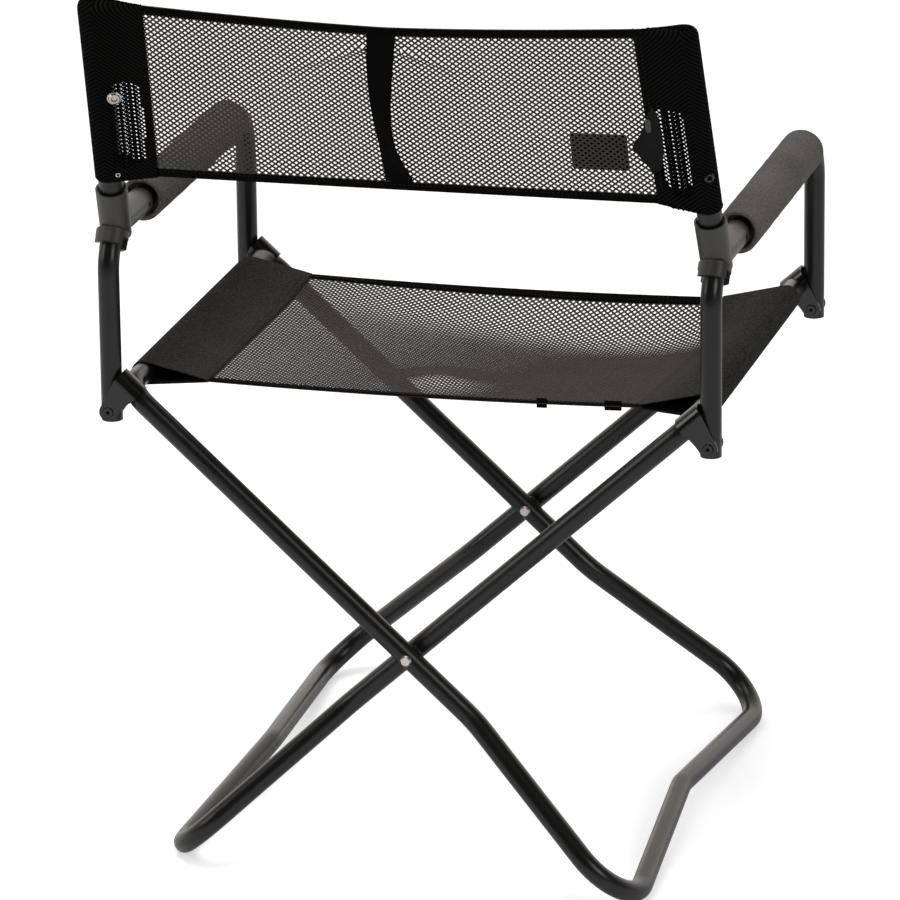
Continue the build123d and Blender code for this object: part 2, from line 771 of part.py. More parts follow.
# Frame, arms and back posts, one set for each side
for side, sign in SIDES.items():
    save(leg_frame(sign), f"{side}_leg_frame")
    save(seat_rail(sign), f"{side}_seat_rail")
    save(hinge_bracket(sign, sign), f"{side}_rear_bracket")
    save(hinge_bracket(sign, -sign), f"{side}_front_bracket")
    save(pivot_rivets(sign), f"{side}_pivot_rivets")
    save(arm_tube(sign), f"{side}_arm_tube")
    save(armrest_grip(sign), f"{side}_armrest_grip")
    save(back_socket(sign), f"{side}_back_socket")
    save(socket_screw(sign), f"{side}_socket_screw")
    save(back_post(sign), f"{side}_back_post")
    save(post_cap(sign), f"{side}_post_cap")
    save(seat_sling(sign), f"{side}_seat_sling")
    save(back_sling(sign), f"{side}_back_sling")
    save(sleeve_eyelet(sign), f"{side}_sleeve_eyelet")

save(cross_rivets(), "cross_rivets")
save(cross_washers(), "cross_washers")
save(back_strap(), "back_strap")
save(back_patch(), "back_patch")
save(press_stud(), "press_stud")
save(strap_tab(), "strap_tab")
save(tab_slider(), "tab_slider")
save(hem_tabs(), "hem_tabs")
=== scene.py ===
# %% [markdown]
# A folding camp chair: two bent leg frames that cross like an X, two arm tubes with foam grips, and two
# slings of open mesh cloth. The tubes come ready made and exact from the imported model, because a bent
# tube is all about exact sizes. Here each tube gets its finish, and everything soft is modelled anew as
# cloth, webbing or foam, because cloth is all about its surface. Blender counts in metres, and MM keeps
# the sizes readable.

# %% Load the frame
import json
import math

import bmesh
import bpy
from mathutils import Matrix, Vector, noise


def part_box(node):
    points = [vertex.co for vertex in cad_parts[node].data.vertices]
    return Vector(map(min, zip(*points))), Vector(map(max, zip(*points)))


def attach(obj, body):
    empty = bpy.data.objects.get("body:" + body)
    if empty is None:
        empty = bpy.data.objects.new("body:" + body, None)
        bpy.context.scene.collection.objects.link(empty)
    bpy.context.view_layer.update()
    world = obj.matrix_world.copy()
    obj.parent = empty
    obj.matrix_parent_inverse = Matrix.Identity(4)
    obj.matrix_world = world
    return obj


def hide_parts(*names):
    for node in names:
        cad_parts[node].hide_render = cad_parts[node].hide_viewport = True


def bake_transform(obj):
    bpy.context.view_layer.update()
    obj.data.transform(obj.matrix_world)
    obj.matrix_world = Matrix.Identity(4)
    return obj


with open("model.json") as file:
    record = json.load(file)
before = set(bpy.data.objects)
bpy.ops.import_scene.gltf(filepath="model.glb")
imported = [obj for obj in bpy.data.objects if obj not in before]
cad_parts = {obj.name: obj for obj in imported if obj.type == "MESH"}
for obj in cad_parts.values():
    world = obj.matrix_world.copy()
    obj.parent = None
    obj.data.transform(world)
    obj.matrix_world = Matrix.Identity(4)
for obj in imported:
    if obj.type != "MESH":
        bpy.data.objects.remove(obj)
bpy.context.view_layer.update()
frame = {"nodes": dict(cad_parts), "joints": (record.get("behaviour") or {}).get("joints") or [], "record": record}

MM = 0.001
TURN = 2 * math.pi
SIDES = {"left": 1, "right": -1}
scene = bpy.context.scene
scene.view_settings.view_transform = "Standard"

# %% [markdown]
# The slings hang on four tubes, so those tubes give every size that follows. Their places could be typed
# in, but read from the frame they stay true if the chair is packed with other sizes. A rail's axis is one
# tube radius inside its box. The left back post's axis is the axis of the hinge on which the back cloth
# turns, and the right post is its mirror image, set forward by the stagger of the two frames.

# %% Read the tubes that carry the cloth
TUBE_R = 9.5 * MM
POST_R = 11.0 * MM
rail_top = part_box("left_seat_rail")[1]
RAIL_X = rail_top.x - TUBE_R
RAIL_Z = rail_top.z - TUBE_R
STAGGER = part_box("left_back_post")[1].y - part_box("right_back_post")[1].y
joints = {joint["name"]: joint for joint in frame["joints"]}
post_foot = Vector(joints["back_left"]["pos_m"])
post_lean = Vector(joints["back_left"]["axis"])
post_lean /= post_lean.z
print("rail at", round(RAIL_X, 4), round(RAIL_Z, 4), "stagger", round(STAGGER, 4))


def post_axis(side, z):
    """Point on the axis of a back post at height z."""
    point = post_foot + post_lean * (z - post_foot.z)
    if side > 0:
        return point
    return Vector((-point.x, point.y - STAGGER, point.z))


# %% [markdown]
# The camera stands far behind the chair and a little above it, with a long lens, so that the lines stay
# nearly parallel. A Track To constraint could aim it. Its axes are worked out instead, because a small
# roll of the picture is then just one more turn. A camera looks along its own -Z, so its axes are built
# from the direction back to it.

# %% Set up the camera
AZIMUTH = math.radians(195.33)
ELEVATION = math.radians(18.42)
ROLL = math.radians(-0.67)
DISTANCE = 6.3736
TARGET = Vector((0.02026, 0, 0.3254))
LENS_MM = 280
SENSOR_MM = 36


def to_camera():
    """Direction from the chair to the camera."""
    flat = math.cos(ELEVATION)
    return Vector((math.sin(AZIMUTH) * flat, -math.cos(AZIMUTH) * flat, math.sin(ELEVATION)))


def make_camera():
    back = to_camera()
    right = Vector((0, 0, 1)).cross(back).normalized()
    up = back.cross(right)
    turned_right = right * math.cos(ROLL) + up * math.sin(ROLL)
    turned_up = up * math.cos(ROLL) - right * math.sin(ROLL)
    data = bpy.data.cameras.new("camera")
    data.lens = LENS_MM
    data.sensor_width = SENSOR_MM
    camera = bpy.data.objects.new("camera", data)
    axes = Matrix((turned_right, turned_up, back)).transposed().to_4x4()
    camera.matrix_world = Matrix.Translation(TARGET + back * DISTANCE) @ axes
    scene.collection.objects.link(camera)
    scene.camera = camera
    return camera


camera = make_camera()
print("camera at", [round(x, 2) for x in camera.location])

# %% [markdown]
# Materials and the world are trees of nodes. In the shader editor one adds a node, types its values and
# drags links. Three small helpers do the same here: one draws a link, one adds a Math node and one adds a
# Mix node for colours. An input may be a plain value or the output of another node, so that formulas can
# be nested like ordinary arithmetic, which is easier to read than a long list of links.

# %% Helpers for node trees


def link(tree, source, target):
    tree.links.new(source, target)


def number_node(tree, operation, first, second=None):
    """A math node fed by sockets or plain numbers."""
    node = tree.nodes.new("ShaderNodeMath")
    node.operation = operation
    for slot, value in enumerate((first, second)):
        if hasattr(value, "links"):
            link(tree, value, node.inputs[slot])
        elif value is not None:
            node.inputs[slot].default_value = value
    return node.outputs[0]


def colour_mix(tree, factor, dark, light):
    """A mix of two colours, each a socket or a plain colour."""
    mix = tree.nodes.new("ShaderNodeMix")
    mix.data_type = "RGBA"
    ends = [socket for socket in mix.inputs if socket.type == "RGBA"]
    link(tree, factor, mix.inputs["Factor"])
    for socket, value in zip(ends, (dark, light)):
        if hasattr(value, "links"):
            link(tree, value, socket)
        else:
            socket.default_value = value
    return next(socket for socket in mix.outputs if socket.type == "RGBA")


# %% [markdown]
# A dark glossy tube shows little colour of its own: it shows the room. In a studio, black boards near the
# camera give such a tube a dark core, and white walls behind it give it two light edges. Boards could be
# modelled, but they would also shade the chair. So the world does it: the camera sees pure white, plain
# light comes from a weaker white, and only mirrored rays see a warm world that is dark on the camera's
# side.

# %% A world with a dark side
WORLD_LIGHT = 0.5
WHITE = (1, 1, 1, 1)
MIRROR_TINT = (1.0, 0.95, 0.88, 1)
MIRROR_FAR, MIRROR_NEAR = 1.5, 0.03
FADE_FAR, FADE_NEAR = -0.85, 0.3


def mirrored_light(tree):
    """Strength of the world for mirrored rays, from light behind the chair to dark near the camera."""
    place = tree.nodes.new("ShaderNodeTexCoord")
    facing = tree.nodes.new("ShaderNodeVectorMath")
    facing.operation = "DOT_PRODUCT"
    facing.inputs[1].default_value = to_camera()
    link(tree, place.outputs["Generated"], facing.inputs[0])
    fade = tree.nodes.new("ShaderNodeMapRange")
    fade.interpolation_type = "SMOOTHSTEP"
    ends = {"From Min": FADE_FAR, "From Max": FADE_NEAR, "To Min": MIRROR_FAR, "To Max": MIRROR_NEAR}
    for key, value in ends.items():
        fade.inputs[key].default_value = value
    link(tree, facing.outputs["Value"], fade.inputs["Value"])
    return fade.outputs[0]


def make_world():
    world = bpy.data.worlds.new("studio")
    scene.world = world
    world.use_nodes = True
    tree = world.node_tree
    background = tree.nodes["Background"]
    path = tree.nodes.new("ShaderNodeLightPath").outputs
    tint = colour_mix(tree, path["Is Glossy Ray"], WHITE, MIRROR_TINT)
    link(tree, tint, background.inputs["Color"])
    mirrored = number_node(tree, "MULTIPLY", path["Is Glossy Ray"], mirrored_light(tree))
    seen = number_node(tree, "MAXIMUM", path["Is Camera Ray"], path["Is Transmission Ray"])
    direct = number_node(tree, "MAXIMUM", seen, path["Is Glossy Ray"])
    shining = number_node(tree, "MULTIPLY", number_node(tree, "SUBTRACT", 1, direct), WORLD_LIGHT)
    lit = number_node(tree, "MAXIMUM", mirrored, shining)
    link(tree, number_node(tree, "MAXIMUM", seen, lit), background.inputs["Strength"])


make_world()
print("world light:", WORLD_LIGHT, "mirrored:", MIRROR_NEAR, "to", MIRROR_FAR)

# %% [markdown]
# The chair stands on a seamless pale floor. A curved backdrop would be the studio's way, but under a
# white world one very large flat grid looks the same. It glows a little, for the camera only, so that it
# melts into the background and still takes soft shadows.

# %% The floor
FLOOR_HALF = 40
FLOOR_WHITE = (0.9, 0.9, 0.9, 1)
FLOOR_GLOW = 0.45


def make_floor():
    bm = bmesh.new()
    bmesh.ops.create_grid(bm, x_segments=1, y_segments=1, size=FLOOR_HALF)
    mesh = bpy.data.meshes.new("floor")
    bm.to_mesh(mesh)
    bm.free()
    floor = bpy.data.objects.new("floor", mesh)
    scene.collection.objects.link(floor)
    material = bpy.data.materials.new("floor_white")
    material.use_nodes = True
    tree = material.node_tree
    shade = tree.nodes["Principled BSDF"]
    shade.inputs["Base Color"].default_value = FLOOR_WHITE
    shade.inputs["Roughness"].default_value = 1
    shade.inputs["Specular IOR Level"].default_value = 0
    shade.inputs["Emission Color"].default_value = WHITE
    path = tree.nodes.new("ShaderNodeLightPath").outputs
    glow = number_node(tree, "MULTIPLY", path["Is Camera Ray"], FLOOR_GLOW)
    link(tree, glow, shade.inputs["Emission Strength"])
    floor.data.materials.append(material)


make_floor()
print("floor:", 2 * FLOOR_HALF, "m wide")

# %% [markdown]
# Three large round lamps stand for the soft boxes of a studio, one above and one at each side. A large
# lamp gives soft shadows and a small one hard ones, so Area lamps were chosen over points or a sun. Their
# power is low, so that a colour renders about as it is written.

# %% Soft lamps
LAMPS = {
    "top_light": {"place": (0.6, 0.4, 3.2), "size": 2.4, "power": 45},
    "left_light": {"place": (3.0, 1.6, 1.8), "size": 1.8, "power": 22},
    "right_light": {"place": (-3.0, 2.2, 2.2), "size": 1.8, "power": 38},
}


def soft_lamp(name, place, size, power):
    data = bpy.data.lights.new(name, "AREA")
    data.shape = "DISK"
    data.size = size
    data.energy = power
    lamp = bpy.data.objects.new(name, data)
    lamp.location = place
    lamp.rotation_euler = (TARGET - Vector(place)).to_track_quat("-Z", "Y").to_euler()
    scene.collection.objects.link(lamp)


for name, settings in LAMPS.items():
    soft_lamp(name, **settings)
    print(name, settings["power"], "W")

# %% [markdown]
# Three effects come back in many finishes: fine grain for coats and mouldings, a plain weave for tapes,
# and slanted ribs for the knitted sleeves. Each could be drawn anew in every material. A node group is
# built once and placed with its own values, so a change to it reaches all of them. These helpers make an
# empty group, read a cloth's own UV map and draw a wave.

# %% Parts of a node group


def new_group(name, inputs, outputs):
    """An empty node group with named sockets, and its two end nodes."""
    group = bpy.data.node_groups.new(name, "ShaderNodeTree")
    for label, kind in inputs:
        group.interface.new_socket(label, in_out="INPUT", socket_type=kind)
    for label, kind in outputs:
        group.interface.new_socket(label, in_out="OUTPUT", socket_type=kind)
    return group, group.nodes.new("NodeGroupInput").outputs, group.nodes.new("NodeGroupOutput").inputs


def cloth_axes(group):
    """The two directions of a cloth's own UV map, in metres."""
    place = group.nodes.new("ShaderNodeTexCoord")
    split = group.nodes.new("ShaderNodeSeparateXYZ")
    link(group, place.outputs["UV"], split.inputs[0])
    return split.outputs["X"], split.outputs["Y"]


def wave(group, along, period):
    """A sine wave from 0 to 1 with a period in metres."""
    turns = number_node(group, "DIVIDE", along, period)
    swing = number_node(group, "SINE", number_node(group, "MULTIPLY", turns, TURN))
    return number_node(group, "ADD", number_node(group, "MULTIPLY", swing, 0.5), 0.5)


# %% [markdown]
# A coat, a moulding, foam and yarn are never quite even: they have fine grain, and their tint and gloss
# drift slowly. A picture could show that, but every tube would have to be unwrapped for it. Noise on
# Object coordinates needs no unwrapping and has no seams. One fine noise gives height and speckle, and
# one slow, cloudy noise shifts the tint and the roughness.

# %% Grain
FINE_DETAIL, CLOUD_DETAIL = 3, 4
CLOUD_SCALE = 14
SPECKLE = 3.2


def noise_node(group, place, detail):
    node = group.nodes.new("ShaderNodeTexNoise")
    node.inputs["Detail"].default_value = detail
    link(group, place.outputs["Object"], node.inputs["Vector"])
    return node


def grain_group():
    """Fine grain and slow cloudiness: a height, a roughness and a tint that vary over the surface."""
    group, start, end = new_group(
        "grain",
        [("Size", "NodeSocketFloat"), ("Rough", "NodeSocketFloat"), ("Spread", "NodeSocketFloat"),
         ("Dark", "NodeSocketColor"), ("Light", "NodeSocketColor")],
        [("Height", "NodeSocketFloat"), ("Roughness", "NodeSocketFloat"), ("Color", "NodeSocketColor")],
    )
    place = group.nodes.new("ShaderNodeTexCoord")
    fine = noise_node(group, place, FINE_DETAIL)
    link(group, number_node(group, "DIVIDE", 1, start["Size"]), fine.inputs["Scale"])
    cloud = noise_node(group, place, CLOUD_DETAIL)
    cloud.inputs["Scale"].default_value = CLOUD_SCALE
    drift = number_node(group, "SUBTRACT", cloud.outputs["Fac"], 0.5)
    varied = number_node(group, "MULTIPLY", drift, start["Spread"])
    link(group, number_node(group, "ADD", varied, start["Rough"]), end["Roughness"])
    grain = number_node(group, "SUBTRACT", fine.outputs["Fac"], 0.5)
    speckle = number_node(group, "MULTIPLY", grain, SPECKLE)
    tint = number_node(group, "ADD", number_node(group, "ADD", drift, speckle), 0.5)
    link(group, colour_mix(group, tint, start["Dark"], start["Light"]), end["Color"])
    link(group, fine.outputs["Fac"], end["Height"])
    return group


GRAIN = grain_group()
print("node group:", GRAIN.name)

# %% [markdown]
# Tape and webbing are woven: ribs cross picks, over and under like the fields of a chessboard, which two
# sine waves multiplied give. The knitted sleeves have slanted ribs that meet in points, which is one wave
# with the distance from a spine added to it. Threads could be modelled, but they are far thinner than a
# millimetre, so a height is enough. It feeds a Bump node, and it also paints shade into the low places
# of the colour and a highlight onto the high ones. The UV map holds the flat cloth in metres, so the
# waves have true sizes.

# %% Weave and ribs


def weave_group():
    """Plain weave: a height that is low between the yarns of both directions."""
    group, start, end = new_group(
        "weave", [("Rib", "NodeSocketFloat"), ("Pick", "NodeSocketFloat")], [("Height", "NodeSocketFloat")])
    across, along = cloth_axes(group)
    ribs = wave(group, across, start["Rib"])
    picks = wave(group, along, start["Pick"])
    even = number_node(group, "MULTIPLY", ribs, picks)
    odd = number_node(group, "MULTIPLY", number_node(group, "SUBTRACT", 1, ribs),
                      number_node(group, "SUBTRACT", 1, picks))
    link(group, number_node(group, "ADD", even, odd), end["Height"])
    return group


def rib_group():
    """Slanted ribs that meet in a point on two spines, one at each side of the middle of the cloth."""
    group, start, end = new_group(
        "ribs", [("Period", "NodeSocketFloat"), ("Spine", "NodeSocketFloat"), ("Slope", "NodeSocketFloat")],
        [("Height", "NodeSocketFloat")])
    across, along = cloth_axes(group)
    aside = number_node(group, "SUBTRACT", number_node(group, "ABSOLUTE", across), start["Spine"])
    fall = number_node(group, "MULTIPLY", number_node(group, "ABSOLUTE", aside), start["Slope"])
    link(group, wave(group, number_node(group, "ADD", along, fall), start["Period"]), end["Height"])
    return group


WEAVE = weave_group()
RIBS = rib_group()
print("node groups:", WEAVE.name, RIBS.name)

# %% [markdown]
# A finish is one Principled shader. What varies over the surface comes from a group, and values that are
# the same all over, such as metal or the strength of the gloss, are set on the shader itself. Each finish
# could be built by hand, but two recipes cover them all: grained for coats, foam and yarn, and patterned
# for tape and knitted cloth.

# %% Make a finish
PATTERN_BUMP = 0.6


def new_finish(name, group, settings, plain):
    """A material with one group in it. plain holds constant shader inputs by name."""
    material = bpy.data.materials.new(name)
    material.use_nodes = True
    tree = material.node_tree
    shade = tree.nodes["Principled BSDF"]
    for key, value in plain.items():
        shade.inputs[key].default_value = value
    effect = tree.nodes.new("ShaderNodeGroup")
    effect.node_tree = group
    for key, value in settings.items():
        effect.inputs[key].default_value = value
    return material, tree, shade.inputs, effect.outputs


def add_relief(tree, height, strength, depth, shade):
    relief = tree.nodes.new("ShaderNodeBump")
    relief.inputs["Strength"].default_value = strength
    relief.inputs["Distance"].default_value = depth
    link(tree, height, relief.inputs["Height"])
    link(tree, relief.outputs["Normal"], shade["Normal"])


def grained(name, dark, light, rough, spread, size, bump, plain):
    """A coat, moulding, foam or yarn with fine grain and a cloudy tint."""
    settings = {"Size": size, "Rough": rough, "Spread": spread, "Dark": (*dark, 1), "Light": (*light, 1)}
    material, tree, shade, grain = new_finish(name, GRAIN, settings, plain)
    link(tree, grain["Color"], shade["Base Color"])
    link(tree, grain["Roughness"], shade["Roughness"])
    add_relief(tree, grain["Height"], bump, size, shade)
    return material


def patterned(name, group, settings, dark, light, depth, plain):
    """A tape or knitted cloth, with painted shade in the low places of its pattern and a painted highlight on the
    high ones.
    """
    material, tree, shade, pattern = new_finish(name, group, settings, plain)
    # the pattern's height paints shade into its low places and a highlight onto its high places
    link(tree, colour_mix(tree, pattern["Height"], (*dark, 1), (*light, 1)), shade["Base Color"])
    add_relief(tree, pattern["Height"], PATTERN_BUMP, depth, shade)
    return material


def grey(level, warm=0.08):
    """A nearly neutral grey, a little warm."""
    return (level * (1 + warm), level, level * (1 - warm))


# %% [markdown]
# The tubes have a satin dark coat, and the brackets, bent from sheet, a glossier one. The back sockets
# are moulded plastic, a little lighter. Rivets and press stud are bare steel of two shades, and the
# slider has a darker copy of that steel, painted shade that keeps its face from shining. A dark coat
# sends back only a few percent of the light, so its tints are close to black and most of what shows is
# gloss. Each row gives the dark and light tint, the roughness and its spread, the size of the grain and
# its bump.

# %% Hard finishes
PLAIN = {}
SATIN = {"Specular IOR Level": 0.4}
DULL = {"Specular IOR Level": 0.15}
STEEL = {"Metallic": 1}
HARD = {
    "frame_coat": (grey(0.003), grey(0.005), 0.31, 0.1, 0.7 * MM, 0.05, SATIN),
    "bracket_coat": (grey(0.003), grey(0.005), 0.14, 0.1, 0.7 * MM, 0.05, PLAIN),
    "socket_plastic": (grey(0.016), grey(0.030), 0.38, 0.12, 0.5 * MM, 0.12, PLAIN),
    "black_plastic": (grey(0.006), grey(0.012), 0.5, 0.15, 0.5 * MM, 0.1, DULL),
    "screw_black": (grey(0.004), grey(0.010), 0.4, 0.2, 0.4 * MM, 0.1, PLAIN),
    "rivet_steel": (grey(0.40), grey(0.70), 0.30, 0.25, 0.5 * MM, 0.05, STEEL),
    "stud_steel": (grey(0.30, 0.1), grey(0.56, 0.1), 0.2, 0.2, 0.5 * MM, 0.05, STEEL),
    # painted shade: a darker copy of the steel, so that the slider's face doesn't shine
    "slider_steel_painted_shade": (grey(0.03), grey(0.09), 0.3, 0.2, 0.5 * MM, 0.05, STEEL),
}
FINISH = {name: grained(name, *recipe) for name, recipe in HARD.items()}
print("hard finishes:", ", ".join(FINISH))

# %% [markdown]
# Mesh, sleeves, tape and webbing are black cloth, and the grips are grey foam. All are dull, so their
# shaders keep only a little of their gloss. A sheen layer could be added to the cloth, but from this far
# low gloss and high roughness look the same. The yarn of the mesh is lighter than the sleeves, because
# single yarns catch light from all sides. A patterned row names its group, the group's sizes, two tints
# and a depth. Its two tints are painted light: painted shade for the low places of the pattern and a
# painted highlight for its high places.

# %% Soft finishes
CLOTH = {"Specular IOR Level": 0.03, "Roughness": 0.85}
TAPE_WEAVE = {"Rib": 1.6 * MM, "Pick": 1.2 * MM}
SLEEVE_RIBS = {"Period": 4.2 * MM, "Spine": 20 * MM, "Slope": 0.9}
SOFT = {
    "foam": (grey(0.044), grey(0.120), 0.95, 0.08, 1.2 * MM, 0.5, DULL),
    "mesh_yarn": (grey(0.020, 0.14), grey(0.054, 0.14), 0.8, 0.15, 0.6 * MM, 0.5, DULL),
    "seat_sleeve_cloth": (grey(0.001, 0.04), grey(0.030, 0.04), 0.8, 0.15, 1.6 * MM, 0.8, DULL),
    "thread": (grey(0.004), grey(0.014), 0.7, 0.2, 0.3 * MM, 0.4, DULL),
}
# in each row the first tint is painted shade for the low places, the second a painted highlight for the high ones
PATTERNED = {
    "sleeve_cloth": (RIBS, SLEEVE_RIBS, grey(0.0002), grey(0.006), 0.8 * MM, CLOTH),
    "binding": (WEAVE, TAPE_WEAVE, grey(0.0005), grey(0.004), 0.3 * MM, CLOTH),
    "webbing": (WEAVE, TAPE_WEAVE, grey(0.0005), grey(0.004), 0.4 * MM, CLOTH),
    "tab_webbing": (WEAVE, TAPE_WEAVE, grey(0.006), grey(0.02, -0.04), 0.4 * MM, CLOTH),
}
FINISH.update({name: grained(name, *recipe) for name, recipe in SOFT.items()})
FINISH.update({name: patterned(name, *recipe) for name, recipe in PATTERNED.items()})
print("soft finishes:", ", ".join([*SOFT, *PATTERNED]))

# %% [markdown]
# Every piece of the imported model names a material slot. A finish could be given to each piece by hand,
# but a loop over the slots forgets none. Only the slider of the strap tab has a finish of its own: a
# darker copy of the steel, painted shade that keeps its face from shining.

# %% Put the finishes on the imported pieces
OWN_FINISH = {"tab_slider": "slider_steel_painted_shade"}

for item in frame["record"]["subparts"]:
    node = frame["nodes"][item["node"]]
    finish = FINISH.get(OWN_FINISH.get(item["node"], item["material_slot"]))
    if finish:
        node.data.materials.clear()
        node.data.materials.append(finish)

# %% [markdown]
# Every piece made here ends in the same way: its bmesh becomes a smooth object at the origin, with its
# place in its mesh. Cloth could be sculpted in place. Here it is first made flat, as on a cutting table:
# its flat shape goes to a UV map, in metres, and then a formula lays each point where it belongs. So a
# pattern keeps its true size however the cloth is bent.

# %% From bmesh to piece


def new_piece(name, bm, finish, slot):
    """Turn a bmesh into a smooth object with a finish. The slot argument is not used."""
    mesh = bpy.data.meshes.new(name)
    bm.to_mesh(mesh)
    bm.free()
    for face in mesh.polygons:
        face.use_smooth = True
    mesh.materials.append(FINISH[finish])
    piece = bpy.data.objects.new(name, mesh)
    scene.collection.objects.link(piece)
    return piece


def lay(bm, place):
    """Note the flat shape in the UV map, then put every vertex in its place. z is height off the cloth."""
    layer = bm.loops.layers.uv.new("flat")
    for face in bm.faces:
        for corner in face.loops:
            corner[layer].uv = corner.vert.co.xy
    for vertex in bm.verts:
        vertex.co = place(*vertex.co)


def thicken(bm, thickness):
    bmesh.ops.recalc_face_normals(bm, faces=bm.faces)
    bmesh.ops.solidify(bm, geom=list(bm.faces), thickness=thickness)


def strip(length, width, steps, sides):
    """A flat grid along X, ready to be laid."""
    bm = bmesh.new()
    bmesh.ops.create_grid(bm, x_segments=steps, y_segments=sides, size=0.5)
    bmesh.ops.scale(bm, verts=bm.verts, vec=(length, width, 1))
    return bm


# %% [markdown]
# The slings are mesh, a field of small diamond holes between yarns. A picture with clear holes would be
# quick, but then the yarn has no thickness, and a real net closes up when it is seen from a low angle. So
# the holes are real. A square grid turned by 45 degrees is a field of diamonds, each diamond is inset,
# and its middle is either deleted, which leaves a net, or pushed in, which leaves a dimple. Solidify then
# thickens the yarn.

# %% Flat mesh cloth
MESH_PITCH = 6.3 * MM
MESH_FLAT = 0.865
YARN_W = 1.7 * MM
YARN_T = 0.55 * MM
CUT_SNAP = 0.05 * MM
print("mesh pitch:", round(MESH_PITCH / MM, 1), "mm, yarn:", round(YARN_W / MM, 1), "mm wide")


def diamond_field(width, length, pitch=MESH_PITCH, skew=0):
    """A flat field of diamonds, sheared by skew and cut to a rectangle round the origin."""
    columns = round(width / pitch)
    rows = round(length / (pitch * MESH_FLAT))
    count = 2 * math.ceil((columns + rows) / 2 + 2)
    bm = bmesh.new()
    bmesh.ops.create_grid(bm, x_segments=count, y_segments=count, size=count / 2)
    bmesh.ops.rotate(bm, verts=bm.verts, matrix=Matrix.Rotation(math.pi / 4, 3, "Z"))
    across, along = width / columns / math.sqrt(2), length / rows / math.sqrt(2)
    shear = Matrix(((across, 0, 0), (skew * across, along, 0), (0, 0, 1)))
    bmesh.ops.transform(bm, verts=bm.verts, matrix=shear.to_4x4())
    for normal, reach in ((Vector((1, 0, 0)), width), (Vector((0, 1, 0)), length)):
        for way in (1, -1):
            bmesh.ops.bisect_plane(
                bm, geom=[*bm.verts, *bm.edges, *bm.faces], dist=CUT_SNAP, clear_outer=True,
                plane_co=normal * way * reach / 2, plane_no=normal * way,
            )
    return bm


def open_diamonds(bm, cells, yarn=YARN_W):
    """Inset diamonds by half a yarn and delete their middles."""
    bmesh.ops.inset_individual(bm, faces=cells, thickness=yarn / 2, use_even_offset=True)
    bmesh.ops.delete(bm, geom=cells, context="FACES_ONLY")
    return len(cells)


def dimple_diamonds(bm, cells, depth, yarn=YARN_W):
    """Inset diamonds by half a yarn and push their middles in."""
    bmesh.ops.inset_individual(bm, faces=cells, thickness=yarn / 2, use_even_offset=True)
    for cell in cells:
        for corner in cell.verts:
            corner.co.z -= depth


# %% [markdown]
# The seat hangs between the two rails, which are staggered, so the cloth is skewed a little. Its hems are
# pulled tight by their tapes, and between them it is slack: it falls steeply behind the front hem and
# rises slowly to the rear, deeper at the right, with one soft crease near the rear hem. A cloth
# simulation would find a shape, but not this very one. A formula gives it in every run, and seams and
# stitches can ask for it.

# %% Shape of the seat
SEAT_W = math.hypot(RAIL_X, STAGGER / 2)
SEAT_LENGTH = 332 * MM
SEAT_SLEEVE_W = 60 * MM
SEAT_DIP = 2 * MM
SAG_HEM, SAG_MIDDLE = 5 * MM, 27 * MM
SAG_SKEW = 0.9
SAG_AT = -0.62
SAG_SHARP = 4
NEAR_HEM = 0.001
CREASE_MM = {"u": 2, "v": 98, "height": 6.5, "wide": 32, "long": 30}


def seat_sag(s, t):
    """Depth of the slack, from -1 to 1 across the seat (s) and from its front to its rear (t)."""
    from_front = max(NEAR_HEM, (1 + t) / (1 + SAG_AT))
    from_rear = max(NEAR_HEM, (1 - t) / (1 - SAG_AT))
    along = (from_front ** -SAG_SHARP + from_rear ** -SAG_SHARP) ** (-1 / SAG_SHARP)
    return SAG_MIDDLE * along * (1 - SAG_SKEW * s) * (1 - abs(s) ** 3)


def seat_crease(u, v):
    across = (u / MM - CREASE_MM["u"]) / CREASE_MM["wide"]
    along = (v / MM - CREASE_MM["v"]) / CREASE_MM["long"]
    return CREASE_MM["height"] * MM * math.exp(-across ** 2 - along ** 2)


def seat_height(u, v):
    """Height of the seat cloth at u across it and v along it, from front to rear."""
    s, t = u / SEAT_W, v / (SEAT_LENGTH / 2)
    return RAIL_Z - SEAT_DIP - SAG_HEM * (1 - s * s) - seat_sag(s, t) + seat_crease(u, v)


def seat_spot(u, v, z):
    """Point at u across the seat, v along it and height z."""
    return Vector((u * RAIL_X / SEAT_W, v + u * STAGGER / 2 / SEAT_W, z))


def seat_point(u, v, lift=0):
    """Point on the seat cloth, lifted above it."""
    return seat_spot(u, v, seat_height(u, v) + lift)


print("seat sag in the middle:", round((RAIL_Z - seat_height(0, 0)) / MM, 1), "mm")

# %% [markdown]
# The net of the seat is cut flat, its diamonds are opened, and it is laid on the shape and thickened. It
# takes the place of both halves of the imported seat. When the chair folds, the real cloth bends in the
# middle. Bones and weights could do that. Here the net keeps its laid shape and doesn't fold.

# %% Net of the seat
TUCK = 3 * MM
SEAT_NET_HALF = SEAT_W - SEAT_SLEEVE_W + TUCK


def fold_with_seat(piece):
    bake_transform(piece)


def make_seat_net():
    bm = diamond_field(2 * SEAT_NET_HALF, SEAT_LENGTH)
    holes = open_diamonds(bm, list(bm.faces))
    lay(bm, seat_point)
    thicken(bm, YARN_T)
    print("seat net holes:", holes)
    return new_piece("seat_net", bm, "mesh_yarn", "mesh_cloth")


seat_net = make_seat_net()
fold_with_seat(seat_net)
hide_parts("left_seat_sling", "right_seat_sling")

# %% [markdown]
# Each side of a sling is a sleeve: the cloth goes round a tube and is sewn back on itself. Its section is
# like a drop, with two straight runs that leave the seam and an arc round the tube. It could be a curve,
# swept along the tube. One function that gives the point at any share of the way round is simpler,
# because the same flat cloth can be laid with it.

# %% Section of a sleeve
SEAM_HALF_T = 1.3 * MM
SLEEVE_ROOM = 1.6 * MM
SLEEVE_T = 0.7 * MM
print("room round a tube:", round(SLEEVE_ROOM / MM, 1), "mm")


def on_circle(angle, radius):
    return Vector((math.cos(angle), math.sin(angle))) * radius


